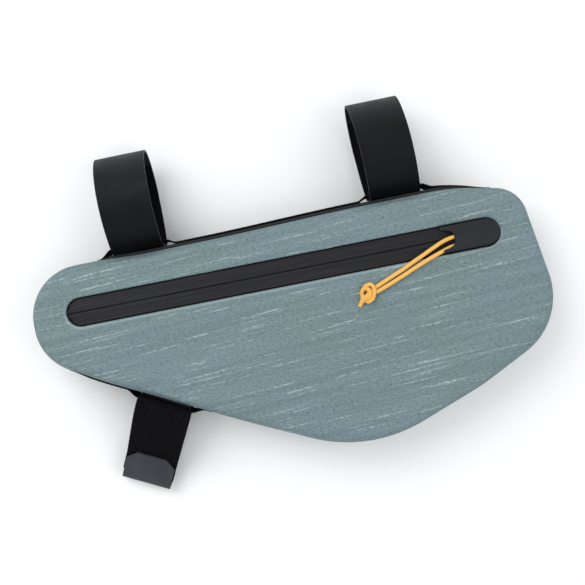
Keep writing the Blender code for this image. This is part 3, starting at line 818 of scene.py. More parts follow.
@dataclass(frozen=True)
class Outline:
    """The bag's outline, a polygon with rounded corners, seen from the front."""

    length: float = 0.384
    height: float = 0.1727
    # how far the edge dips at the top and swells below, and from where to where in x
    top_dip: float = 0.0018
    dip_span: tuple = ((-0.145, -0.100), (-0.060, 0.060))
    keel_swell: float = 0.0013
    swell_span: tuple = ((-0.175, -0.145), (-0.050, -0.005))
    side_step: float = 0.004
    arc_steps: int = 40
    # x as a share of the length, y and radius as shares of the height
    corners: tuple[tuple[float, float, float], ...] = (
        (-0.505, 0.2955, 0.222),
        (-0.504, -0.084, 0.222),
        (0.0846, -0.7487, 0.631),
        (0.329, -0.5495, 1.274),
        (0.5105, -0.3497, 0.300),
        (0.4688, 0.2536, 0.139),
        (0.3385, 0.312, 0.870),
    )

    @functools.cache
    def fine_points(self) -> tuple[np.ndarray, np.ndarray]:
        """Return closely spaced places and outward normals, counter-clockwise."""
        corners = [Vector((x * self.length, y * self.height)) for x, y, _ in self.corners]
        places = []
        normals = []
        for i, corner in enumerate(corners):
            before = (corners[i - 1] - corner).normalized()
            after = (corners[(i + 1) % len(corners)] - corner).normalized()
            radius = self.corners[i][2] * self.height
            half_angle = before.angle(after) / 2
            centre = corner + (before + after).normalized() * radius / math.sin(half_angle)
            first = math.atan2(before.x, -before.y)
            for k in range(self.arc_steps + 1):
                angle = first + (math.pi - 2 * half_angle) * k / self.arc_steps
                normal = Vector((math.cos(angle), math.sin(angle)))
                places.append(centre + normal * radius)
                normals.append(normal)
        return self.pulled(np.array(places), np.array(normals))

    def pull_at(self, x: float, upward: float) -> float:
        """Return how far the edge is pushed out at x.

        Args:
            x: The place along the bag.
            upward: The y of the edge's outward normal.

        Returns:
            The push, below 0 where the cloth dips.
        """
        if upward > 0.5:
            rise, fall = self.dip_span
            return -self.top_dip * soft_step(x, *rise) * (1 - soft_step(x, *fall))
        if upward < -0.5:
            rise, fall = self.swell_span
            return self.keel_swell * soft_step(x, *rise) * (1 - soft_step(x, *fall))
        return 0.0

    def pulled(self, places: np.ndarray, normals: np.ndarray) -> tuple[np.ndarray, np.ndarray]:
        """Fill in the straight sides and let the straps pull the cloth a little.

        Args:
            places: Places on the rounded corners.
            normals: Their outward normals.

        Returns:
            More places all round, and their normals.
        """
        spots = []
        sides = []
        for i in range(len(places)):
            j = (i + 1) % len(places)
            parts = max(1, int(np.linalg.norm(places[j] - places[i]) / self.side_step))
            for k in range(parts):
                spot = places[i] + (places[j] - places[i]) * k / parts
                side = normals[i] + (normals[j] - normals[i]) * k / parts
                side = side / np.linalg.norm(side)
                spots.append(spot + side * self.pull_at(spot[0], side[1]))
                sides.append(side)
        return np.array(spots), np.array(sides)

    @functools.cache
    def samples(self, count: int) -> tuple[np.ndarray, np.ndarray]:
        """Return evenly spaced places and outward normals all round.

        Args:
            count: How many places.

        Returns:
            Two tables of one x and y a place.
        """
        places, normals = self.fine_points()
        places = np.vstack([places, places[:1]])
        normals = np.vstack([normals, normals[:1]])
        steps = np.linalg.norm(np.diff(places, axis=0), axis=1)
        lengths = np.concatenate([[0.0], np.cumsum(steps)])
        wanted = np.linspace(0.0, lengths[-1], count, endpoint=False)
        spots = np.stack([np.interp(wanted, lengths, places[:, k]) for k in (0, 1)], axis=1)
        sides = np.stack([np.interp(wanted, lengths, normals[:, k]) for k in (0, 1)], axis=1)
        return spots, sides / np.linalg.norm(sides, axis=1, keepdims=True)

    def edge_at(self, x: float, upper: bool) -> tuple[Vector, Vector]:
        """Return the place and outward normal of the upper or lower edge at x.

        Args:
            x: The place along the bag.
            upper: True for the upper edge.

        Returns:
            The place and the normal.
        """
        places, normals = self.fine_points()
        best = (Vector((0, 0)), Vector((0, 1)))
        found = False
        for i in range(len(places)):
            j = (i + 1) % len(places)
            low, high = sorted((places[i][0], places[j][0]))
            if high - low < 0.000001 or not low <= x <= high:
                continue
            share = (x - places[i][0]) / (places[j][0] - places[i][0])
            place = Vector(places[i] * (1 - share) + places[j] * share)
            normal = Vector(normals[i] * (1 - share) + normals[j] * share).normalized()
            if not found or (place.y > best[0].y) == upper:
                best = (place, normal)
                found = True
        return best

    def ends(self) -> tuple[float, float]:
        """Return the lowest and highest x of the outline."""
        places, _ = self.fine_points()
        return float(places[:, 0].min()), float(places[:, 0].max())


@dataclass(frozen=True)
class Slot:
    """The zip's slot in the front panel, straight with two round ends."""

    outline: Outline
    margin_nose: float = 0.0283
    margin_rear: float = 0.0330
    width: float = 0.0213
    centre_share: float = 0.093

    @property
    def radius(self) -> float:
        """Half the slot's width."""
        return self.width / 2

    @property
    def centre_y(self) -> float:
        """The slot's centre line."""
        return self.centre_share * self.outline.height

    @functools.cache
    def ends(self) -> tuple[float, float]:
        """Return the x of the slot's two ends."""
        low, high = self.outline.ends()
        return low + self.margin_nose, high - self.margin_rear

    def middle(self, place: Vector) -> Vector:
        """Return the centre line's point next to a place, at the place's height."""
        start, end = self.ends()
        x = min(end - self.radius, max(start + self.radius, place.x))
        return Vector((x, self.centre_y, place.z))


# Studio


@dataclass
class Studio:
    """The camera, the floor and the light."""

    image_size: int = 585
    focal_pixels: float = 986.0
    sensor: float = 36.0
    camera_height: float = 0.776
    roll: float = math.radians(-11.2)
    floor_size: float = 6.0

    def build(self) -> None:
        """Set the whole studio up."""
        self.camera()
        self.floor()
        self.lights()
        LOG.info("studio: camera %.3f m over the floor", self.camera_height)

    def camera(self) -> None:
        """Look straight down, turned so that the zip rises to the right."""
        deselect_all()
        bpy.ops.object.camera_add(location=(0, 0, self.camera_height), rotation=(0, 0, self.roll))
        camera = bpy.context.active_object
        camera.name = "camera"
        camera.data.sensor_width = self.sensor
        camera.data.lens = self.focal_pixels / self.image_size * self.sensor
        camera.data.clip_start = 0.01
        camera.data.clip_end = 50.0
        bpy.context.scene.camera = camera

    def floor(self) -> None:
        """Lay a plain pale floor just under the bag."""
        deselect_all()
        bpy.ops.mesh.primitive_plane_add(size=self.floor_size, location=(0, 0, -0.0003))
        floor = bpy.context.active_object
        floor.name = "floor"
        material = bpy.data.materials.new("pale_floor")
        material.use_nodes = True
        shader = material.node_tree.nodes["Principled BSDF"]
        shader.inputs["Base Color"].default_value = (0.97, 0.97, 0.97, 1.0)
        shader.inputs["Roughness"].default_value = 0.9
        shader.inputs["Specular IOR Level"].default_value = 0.1
        floor.data.materials.append(material)

    def lights(self) -> None:
        """Fill the room with soft light and add two soft boxes."""
        scene = bpy.context.scene
        scene.view_settings.view_transform = "Standard"
        world = bpy.data.worlds.new("soft_room")
        world.use_nodes = True
        backdrop = world.node_tree.nodes["Background"]
        backdrop.inputs["Color"].default_value = (0.97, 0.985, 1.0, 1.0)
        backdrop.inputs["Strength"].default_value = 0.80
        scene.world = world
        self.soft_box("key_light", (-0.55, 0.75, 1.25), 0.9, 9.0)
        self.soft_box("fill_light", (0.9, -0.3, 1.2), 0.9, 3.0)

    @staticmethod
    def soft_box(name: str, place: tuple[float, float, float], size: float, power: float) -> None:
        """Add a square area light that faces the bag.

        Args:
            name: The light's name.
            place: Where it hangs.
            size: The length of its sides.
            power: Its power in watts.
        """
        deselect_all()
        bpy.ops.object.light_add(type="AREA", location=place)
        lamp = bpy.context.active_object
        lamp.name = name
        lamp.data.size = size
        lamp.data.energy = power
        lamp.rotation_euler = (-Vector(place)).to_track_quat("-Z", "Y").to_euler()


# Pull cord


@dataclass
class PullCord:
    """The zip's pull cord: two strands from the slider to a knot with cut tails."""

    workshop: Workshop
    panel_top: float = 0.055
    diameter: float = 0.0031
    braid_pitch: float = 0.0024
    braid_strands: int = 5
    braid_relief: float = 0.00008
    ring_points: int = 20
    point_step: float = 0.0006
    tail_taper: float = 0.12
    hidden_points: int = 5
    # the strands' points from the slider to the knot: x, y and height over the panel
    upper_route: tuple = (
        (0.1372, 0.0157, 0.0010),
        (0.1300, 0.0169, 0.0010),
        (0.1229, 0.0170, 0.0010),
        (0.1150, 0.0152, 0.0011),
        (0.1070, 0.0119, 0.0013),
        (0.0987, 0.0082, 0.0017),
        (0.0906, 0.0047, 0.0019),
        (0.0823, 0.0009, 0.0018),
        (0.0743, -0.0023, 0.0018),
        (0.0668, -0.0053, 0.0020),
        (0.0612, -0.0076, 0.0023),
    )
    lower_route: tuple = (
        (0.1372, 0.0117, 0.0010),
        (0.1300, 0.0112, 0.0010),
        (0.1216, 0.0104, 0.0010),
        (0.1137, 0.0083, 0.0013),
        (0.1057, 0.0057, 0.0017),
        (0.0977, 0.0028, 0.0019),
        (0.0896, -0.0004, 0.0018),
        (0.0816, -0.0037, 0.0018),
        (0.0735, -0.0068, 0.0018),
        (0.0668, -0.0093, 0.0020),
        (0.0612, -0.0113, 0.0023),
    )
    knot_centre: tuple[float, float, float] = (0.0551, -0.0108, 0.0040)
    # two wraps over the strands, then the two cut tails
    wrap_routes: tuple = (
        (
            (0.0511, -0.0090, 0.0016),
            (0.0522, -0.0064, 0.0030),
            (0.0546, -0.0053, 0.0043),
            (0.0573, -0.0056, 0.0049),
            (0.0586, -0.0087, 0.0048),
            (0.0580, -0.0125, 0.0046),
            (0.0561, -0.0158, 0.0042),
            (0.0532, -0.0174, 0.0030),
            (0.0509, -0.0161, 0.0016),
        ),
        (
            (0.0495, -0.0132, 0.0016),
            (0.0496, -0.0099, 0.0026),
            (0.0514, -0.0074, 0.0042),
            (0.0538, -0.0078, 0.0056),
            (0.0551, -0.0101, 0.0058),
            (0.0547, -0.0130, 0.0052),
            (0.0529, -0.0150, 0.0036),
            (0.0513, -0.0156, 0.0020),
        ),
    )
    tail_routes: tuple = (
        (
            (0.0543, -0.0110, 0.0030),
            (0.0526, -0.0129, 0.0046),
            (0.0505, -0.0148, 0.0042),
            (0.0482, -0.0169, 0.0022),
        ),
        (
            (0.0504, -0.0115, 0.0030),
            (0.0492, -0.0143, 0.0030),
            (0.0479, -0.0170, 0.0020),
            (0.0460, -0.0196, 0.0016),
        ),
    )

    def build(self) -> None:
        knot = self.knot()
        for side, route in ((Side.UPPER, self.upper_route), (Side.LOWER, self.lower_route)):
            self.strand(side, route)

    def raised(self, route: Sequence[Sequence[float]]) -> list[Vector]:
        """Return a route's smooth points at their true height."""
        places = [(x, y, self.panel_top + height) for x, y, height in route]
        return resample(smooth_route(places, 10), self.point_step)

    def tube_rows(self, path: Sequence[Vector], taper: float = 0.0) -> list[list[Vector]]:
        """Return rings of points round a path, raised where braid strands cross.

        Args:
            path: The tube's centre line.
            taper: How much of the radius is lost at the last ring.

        Returns:
            One ring for each point of the path.
        """
        rows = []
        up = Vector((0, 0, 1))
        travelled = 0.0
        for i, place in enumerate(path):
            along = (path[min(i + 1, len(path) - 1)] - path[max(i - 1, 0)]).normalized()
            side = along.cross(up)
            if side.length < 0.1:
                side = along.cross(Vector((1, 0, 0)))
            side.normalize()
            top = side.cross(along)
            if i:
                travelled += (place - path[i - 1]).length
            up = top
            ring = []
            for k in range(self.ring_points):
                angle = TURN * k / self.ring_points
                turns = self.braid_strands * angle
                advance = TURN * travelled / self.braid_pitch
                braid = math.sin(turns + advance) * math.sin(turns - advance)
                radius = self.diameter / 2 - self.braid_relief * (1 - braid)
                if taper and i == len(path) - 1:
                    radius *= 1 - taper
                outward = side * math.cos(angle) + top * math.sin(angle)
                ring.append(place + outward * radius)
            rows.append(ring)
        return rows

    def tube(self, name: str, path: Sequence[Vector], taper: float = 0.0) -> bpy.types.Object:
        """Make one stretch of cord, with the braid's length in its UV map.

        Args:
            name: The piece's name.
            path: The cord's centre line.
            taper: How much of the radius is lost at the cut end.

        Returns:
            The piece.
        """
        piece = surface_from_rows(name, self.tube_rows(path, taper), True, False)
        close_solid(piece)
        turns = route_length(path) / self.braid_pitch
        layer = piece.data.uv_layers.active.data
        for corner in layer:
            corner.uv.y *= turns
        shade(piece, 60)
        return piece

    def strand(self, side: Side, route: tuple) -> None:
        """Make one strand, from the slider into the knot.

        Args:
            side: Which strand it is.
            route: Its points.
        """
        path = self.raised(route)
        x, y, height = self.knot_centre
        inward = Vector((x, y, self.panel_top + height)) - path[-1]
        parts = self.hidden_points
        path += [path[-1] + inward * (k / parts) for k in range(1, parts)]
        name = "pull_strand_" + side.name.lower()
        piece = self.tube(name, path)
        self.workshop.hand_over(piece, "cord", "pull_cord_" + side.name.lower())

    def knot(self) -> bpy.types.Object:
        """Make the knot: two wraps over the strands and two cut tails."""
        pieces = [self.tube("knot_wrap", self.raised(route)) for route in self.wrap_routes]
        for route in self.tail_routes:
            pieces.append(self.tube("knot_tail", self.raised(route), self.tail_taper))
        knot = join_pieces(pieces, "pull_knot_tied")
        return self.workshop.hand_over(knot, "cord", "pull_knot")


# Bag body


@dataclass
class BagShell:
    """The front panel, the gusset and the back panel, as closed cloth shells."""

    workshop: Workshop
    slot: Slot
    depth: float = 0.055
    wall: float = 0.0015
    ring_points: int = 300
    loft_rows: int = 34
    crown_inset: float = 0.016
    lip: float = 0.0024
    pressure: float = 0.35
    swell_limit: float = 0.0022
    thread_turn: float = math.radians(3)
    # inset and height of the front panel's edge, from the seam to the crown
    front_edge: tuple = (
        (0.0030, 0.04915),
        (0.0030, 0.04990),
        (0.0031, 0.05070),
        (0.0034, 0.05150),
        (0.0040, 0.05230),
        (0.0050, 0.05305),
        (0.0066, 0.05370),
        (0.0088, 0.05420),
        (0.0118, 0.05465),
        (0.0160, 0.05500),
    )
    # margin round the slot and drop of the lip, from the crown to under the panel
    lip_rows: tuple = (
        (0.0013, 0.0),
        (0.0007, 0.00010),
        (0.0003, 0.00032),
        (0.00005, 0.00075),
        (0.0, 0.00125),
        (0.0004, 0.00150),
        (0.0060, 0.00150),
    )
    # inset and drop of the front panel's inner face
    lining_rows: tuple = ((0.0160, 0.0015), (0.0075, 0.0026), (0.0045, 0.0042))
    # inset and height of the gusset's outer face
    gusset_face: tuple = (
        (0.0030, 0.00615),
        (0.0028, 0.00720),
        (0.0020, 0.00860),
        (0.0011, 0.01020),
        (0.0004, 0.01200),
        (0.0000, 0.01420),
        (0.0000, 0.02000),
        (0.0000, 0.02750),
        (0.0000, 0.03500),
        (0.0000, 0.04080),
        (0.0004, 0.04300),
        (0.0011, 0.04480),
        (0.0020, 0.04640),
        (0.0028, 0.04780),
        (0.0030, 0.04885),
    )
    # inset and height of the back panel's edge, from the flat back to the seam
    back_edge: tuple = (
        (0.0160, 0.00000),
        (0.0100, 0.00000),
        (0.0070, 0.00020),
        (0.0052, 0.00090),
        (0.0040, 0.00210),
        (0.0033, 0.00340),
        (0.0030, 0.00470),
        (0.0030, 0.00585),
    )
    # inset and height of the back panel's inner face
    back_lining: tuple = (
        (0.0045, 0.00585),
        (0.0045, 0.0042),
        (0.0060, 0.0024),
        (0.0090, 0.0015),
        (0.0160, 0.0015),
    )

    def ring(self, inset: float, height: float) -> list[Vector]:
        """Return one ring of the outline at an inset and a height."""
        places, normals = self.slot.outline.samples(self.ring_points)
        return [Vector((*spot, height)) for spot in places - normals * inset]

    def slot_ring(self, margin: float, height: float) -> list[Vector]:
        """Return the slot's border, each point opposite its point of the outline.

        Args:
            margin: How far the ring stays outside the slot.
            height: The ring's height.

        Returns:
            The ring's points.
        """
        ring = []
        for spot in self.ring(self.crown_inset, height):
            middle = self.slot.middle(spot)
            outward = (spot - middle).normalized()
            ring.append(middle + outward * (self.slot.radius + margin))
        return ring

    def crown_rows(self) -> list[list[Vector]]:
        """Return the rows from the rounded edge in to the zip's slot, swelled."""
        outer = self.ring(self.crown_inset, self.depth)
        inner = self.slot_ring(self.lip, self.depth)
        rows = []
        for k in range(self.loft_rows + 1):
            share = k / self.loft_rows
            rows.append([a.lerp(b, share) for a, b in zip(outer, inner)])
        return self.swell(rows)

    def swell(self, rows: list[list[Vector]]) -> list[list[Vector]]:
        """Let cloth swell a little under pressure, held at the edge and the zip.

        Args:
            rows: The flat rows.

        Returns:
            The same rows, each point raised by no more than the limit.
        """
        cloth = surface_from_rows("panel_cloth", rows, True, False)
        pinned = cloth.vertex_groups.new(name="sewn")
        flat = np.array([tuple(vertex.co) for vertex in cloth.data.vertices])
        border = np.array([tuple(point) for point in rows[0] + rows[-1]])
        keys = {tuple(np.round(point[:2], 6)) for point in border}
        sewn = [i for i, point in enumerate(flat) if tuple(np.round(point[:2], 6)) in keys]
        pinned.add(sewn, 1.0, "REPLACE")
        modifier = cloth.modifiers.new("Swell", "CLOTH")
        settings = modifier.settings
        settings.vertex_group_mass = "sewn"
        settings.quality = 5
        settings.use_pressure = True
        settings.uniform_pressure_force = self.pressure
        settings.effector_weights.gravity = 0.0
        settings.tension_stiffness = 40
        settings.compression_stiffness = 40
        settings.bending_stiffness = 4.0
        modifier.collision_settings.use_collision = False
        modifier.point_cache.frame_start = 1
        modifier.point_cache.frame_end = 20
        for frame in range(1, 21):
            bpy.context.scene.frame_set(frame)
        evaluated = cloth.evaluated_get(bpy.context.evaluated_depsgraph_get())
        moved = np.array([tuple(vertex.co) for vertex in evaluated.data.vertices])
        rise = np.clip(moved[:, 2] - flat[:, 2], -self.swell_limit, None)
        if rise.mean() < 0:
            rise = -rise
        rise = self.swell_limit * np.tanh(rise / self.swell_limit)
        lookup = {tuple(np.round(point[:2], 6)): lift for point, lift in zip(flat, rise)}
        raised = []
        for row in rows:
            lifts = [lookup.get(tuple(np.round(tuple(point)[:2], 6)), 0.0) for point in row]
            raised.append([point + Vector((0, 0, lift)) for point, lift in zip(row, lifts)])
        LOG.info("front panel swells by %.2f mm at most", 1000 * float(rise.max()))
        bpy.context.scene.frame_set(1)
        bpy.data.objects.remove(cloth, do_unlink=True)
        return raised

    def flat_place(self, place: Vector) -> tuple[float, float]:
        """Return a point's place along and across the panel's threads."""
        cosine, sine = math.cos(self.thread_turn), math.sin(self.thread_turn)
        return place.x * cosine + place.y * sine, place.y * cosine - place.x * sine

    def highlight_fold_share(self, place: Vector) -> float:
        """Return 1 for a painted highlight on the lip that catches the light under the zip, else
        0.

        Args:
            place: The point's place.

        Returns:
            The share of pale colour.
        """
        middle = self.slot.middle(place)
        margin = (place - middle).length - self.slot.radius
        if place.y > middle.y or place.z < self.depth - 0.0002:
            return 0.0
        return soft_step(margin, 0.0004, 0.0012) * (1 - soft_step(margin, 0.0014, 0.0023))

    def map_band(self, piece: bpy.types.Object) -> None:
        """Give the gusset a UV map in metres: its way round, and its height.

        Args:
            piece: The gusset.
        """
        places, _ = self.slot.outline.samples(self.ring_points)
        steps = np.linalg.norm(np.roll(places, -1, axis=0) - places, axis=1)
        travelled = np.concatenate([[0.0], np.cumsum(steps)[:-1]])
        total = float(steps.sum())
        table = np.array([tuple(vertex.co) for vertex in piece.data.vertices])
        gaps = np.linalg.norm(table[:, None, :2] - places[None, :, :], axis=2)
        around = travelled[gaps.argmin(axis=1)]
        layer = piece.data.uv_layers.active.data
        for polygon in piece.data.polygons:
            shares = [around[piece.data.loops[k].vertex_index] for k in polygon.loop_indices]
            crosses = max(shares) - min(shares) > total / 2
            for k, share in zip(polygon.loop_indices, shares):
                lap = total if crosses and share < total / 2 else 0.0
                height = table[piece.data.loops[k].vertex_index][2]
                layer[k].uv = (share + lap, height)

    def build(self) -> None:
        """Make the three shells."""
        self.front()
        self.gusset()
        self.back()

    def front(self) -> None:
        """Make the front panel with its rounded edge and the zip's folded lip."""
        rows = [self.ring(inset, height) for inset, height in self.front_edge[:-1]]
        rows += self.crown_rows()
        top = self.depth
        rows += [self.slot_ring(margin, top - drop) for margin, drop in self.lip_rows]
        rows += [self.ring(inset, top - drop) for inset, drop in self.lining_rows]
        rows.append(self.ring(self.lining_rows[-1][0], self.front_edge[0][1]))
        piece = surface_from_rows("front_cloth", rows, True, True)
        close_solid(piece)
        metre_map(piece, self.flat_place)
        # painted highlight on the lip under the zip
        point_attribute(piece, "painted_highlight_fold", self.highlight_fold_share)
        shade(piece, 50)
        self.workshop.hand_over(piece, "fabric", "front_panel")

    def gusset(self) -> None:
        """Make the side gusset as a closed band."""
        rows = [self.ring(inset, height) for inset, height in self.gusset_face]
        rows += [self.ring(inset + self.wall, height) for inset, height in self.gusset_face[::-1]]
        piece = surface_from_rows("gusset_cloth", rows, True, True)
        close_solid(piece)
        self.map_band(piece)
        shade(piece, 50)
        self.workshop.hand_over(piece, "fabric", "gusset")

    def back(self) -> None:
        """Make the flat back panel."""
        edge = self.back_edge + self.back_lining
        rows = [self.ring(inset, height) for inset, height in edge]
        piece = surface_from_rows("back_cloth", rows, True, False)
        close_solid(piece)
        metre_map(piece, self.flat_place)
        shade(piece, 50)
        self.workshop.hand_over(piece, "fabric", "back_panel")


# Zip


@dataclass
class Zip:
    """The two coated tapes, the moulded garage and the slider inside it."""

    workshop: Workshop
    slot: Slot
    panel_top: float = 0.055
    panel_wall: float = 0.0015
    gap: float = 0.0003
    lap: float = 0.0035
    tape_thickness: float = 0.0012
    rib_pitch: float = 0.0015
    rib_height: float = 0.00014
    rib_points: int = 84
    bead_height: float = 0.00030
    groove_depth: float = 0.00035
    garage_length: float = 0.0428
    mouth_radius: float = 0.0093
    garage_roof: float = 0.0014
    garage_wall: float = 0.0014
    headroom: float = 0.0043
    recess: float = 0.0006
    rows_along: int = 130

    def build(self) -> None:
        """Make the tapes and the garage, and dress the slider."""
        for side in Side:
            self.tape(side)
        self.garage()
        self.workshop.dress(bpy.data.objects["zip_slider"], "slider_metal")

    @property
    def garage_half(self) -> float:
        """Half the garage's width."""
        return self.slot.radius - self.gap - self.recess

    @property
    def garage_end(self) -> float:
        """The x of the garage's closed end."""
        return self.slot.ends()[1] - self.gap - self.recess

    @property
    def tape_top(self) -> float:
        """The height of the tapes' upper face."""
        return self.panel_top - self.panel_wall - self.gap

    def tape(self, side: Side) -> None:
        """Make one tape with fine ribs and a raised bead over its teeth.

        Args:
            side: Which tape it is.
        """
        start, end = self.slot.ends()
        start -= self.lap
        end += self.lap
        reach = self.slot.radius + self.lap
        inner = self.gap / 2
        section = []
        for k in range(self.rib_points + 1):
            away = inner + (reach - inner) * k / self.rib_points
            rib = self.rib_height * (0.5 + 0.5 * math.cos(TURN * away / self.rib_pitch))
            bead = self.bead_height * soft_step(away, 0.0040, 0.0028)
            groove = self.groove_depth * soft_step(away, 0.0009, 0.0002)
            section.append((away, self.tape_top - self.bead_height + rib + bead - groove))
        section.append((reach, self.tape_top - self.tape_thickness))
        section.append((inner, self.tape_top - self.tape_thickness))
        rows = []
        for k in range(self.rows_along + 1):
            x = start + (end - start) * k / self.rows_along
            shrink = self.nose_share(x, start, end, reach)
            ring = [(side.value * max(away * shrink, inner), z) for away, z in section]
            rows.append([(x, self.slot.centre_y + y, z) for y, z in ring])
        piece = surface_from_rows("tape_" + side.name.lower(), rows, True, False)
        close_solid(piece)
        # painted shade under the slot's edge and along the seam between the tapes
        point_attribute(piece, "recess", self.recess_shade_share)
        shade(piece, 30)
        self.workshop.hand_over(piece, "coated_tape", "zip_tape_" + side.name.lower())

    def recess_shade_share(self, place: Vector) -> float:
        """Return 1 for painted shade under the slot's edge, where no light falls, 0.6 along the
        seam between the tapes, and 0 elsewhere inside it.
        """
        inside = self.slot.radius - (place - self.slot.middle(place)).length
        seam = soft_step(abs(place.y - self.slot.centre_y), 0.0002, 0.0006)
        return max(1 - soft_step(inside, 0.0006, 0.0013), 0.6 * (1 - seam))

    @staticmethod
    def nose_share(x: float, start: float, end: float, reach: float) -> float:
        """Work out how much of a tape's width is left near its round ends.

        Args:
            x: The place along the tape.
            start: The x of the tape's nose end.
            end: The x of its rear end.
            reach: The tape's full width.

        Returns:
            The share of the width.
        """
        away = min(x - start, end - x)
        if away >= reach:
            return 1.0
        return max(0.35, math.sqrt(max(0.0, 1 - ((reach - away) / reach) ** 2)))

    def garage(self) -> None:
        """Make the garage with a rounded roof and an open, hollow mouth."""
        base = self.tape_top + self.gap
        top = base + self.headroom + self.garage_roof
        levels = ((0.0, base), (0.0, top - 0.0022), (0.0001, top - 0.0014), (0.0004, top - 0.0008))
        levels += ((0.0009, top - 0.0003), (0.0016, top - 0.00005), (0.0024, top))
        rows = [self.garage_ring(inset, height) for inset, height in levels]
        piece = surface_from_rows("garage_hood", rows, True, False)
        close_solid(piece)
        cutter = self.garage_cavity(base)
        cut = piece.modifiers.new("Cavity", "BOOLEAN")
        cut.operation = "DIFFERENCE"
        cut.solver = "EXACT"
        cut.object = cutter
        apply_modifiers(piece)
        bpy.data.objects.remove(cutter, do_unlink=True)
        shade(piece, 35)
        self.workshop.hand_over(piece, "garage_rubber", "zip_garage")

    def garage_ring(self, inset: float, height: float) -> list[tuple]:
        """Work out the garage's outline: a round end, two horns and the mouth.

        Args:
            inset: How far the ring lies inside the garage's wall.
            height: The ring's height.

        Returns:
            The ring's points.
        """
        half = self.garage_half
        end = self.garage_end
        start = end - self.garage_length
        ring = []
        for k in range(33):
            angle = -math.pi / 2 + math.pi * k / 32
            reach = half - inset
            ring.append((end - half + reach * math.cos(angle), reach * math.sin(angle)))
        mouth = self.mouth_radius + 0.6 * inset
        for k in range(1, 12):
            ring.append((end - half + (start - end + half) * k / 12, half - inset))
        ring.append((start, half - inset))
        for k in range(33):
            angle = math.pi / 2 - math.pi * k / 32
            reach = min(mouth, half - inset - 0.0002)
            ring.append((start + mouth * math.cos(angle), reach * math.sin(angle)))
        ring.append((start, -half + inset))
        for k in range(11, 0, -1):
            ring.append((end - half + (start - end + half) * k / 12, -half + inset))
        return [(x, self.slot.centre_y + y, height) for x, y in ring]

    def garage_cavity(self, base: float) -> bpy.types.Object:
        """Return the cutter that hollows the garage and opens its mouth.

        Args:
            base: The height of the garage's foot.

        Returns:
            The cutter.
        """
        half = self.garage_half - self.garage_wall
        end = self.garage_end
        start = end - self.garage_length - 0.01
        ring = []
        for k in range(25):
            angle = -math.pi / 2 + math.pi * k / 24
            x = end - self.garage_wall - half + half * math.cos(angle)
            ring.append((x, self.slot.centre_y + half * math.sin(angle)))
        ring += [(start, self.slot.centre_y + half), (start, self.slot.centre_y - half)]
        rows = [[(x, y, z) for x, y in ring] for z in (base - 0.002, base + self.headroom)]
        cutter = surface_from_rows("cavity_cutter", rows, True, False)
        close_solid(cutter)
        return cutter


# Straps and webbing


@dataclass(frozen=True)
class StrapSeat:
    """Where a strap stands on the bag's edge, and how it leans."""

    place: Vector
    outward: Vector
    lean: float = 0.0

    def reach_of(self, place: Vector) -> float:
        """Return how far a place stands out from the bag's edge."""
        return (Vector(place[:2]) - self.place).dot(self.outward)

    def world(self, out: float, across: float, height: float) -> Vector:
        """Return the place of a point given outward, across the strap and upward.

        Args:
            out: How far out it stands.
            across: How far across the strap.
            height: Its height.

        Returns:
            The place.
        """
        along = Vector((self.outward.y, -self.outward.x))
        shift = across - math.tan(self.lean) * out
        spot = self.place + self.outward * out + along * shift
        return Vector((spot.x, spot.y, height))


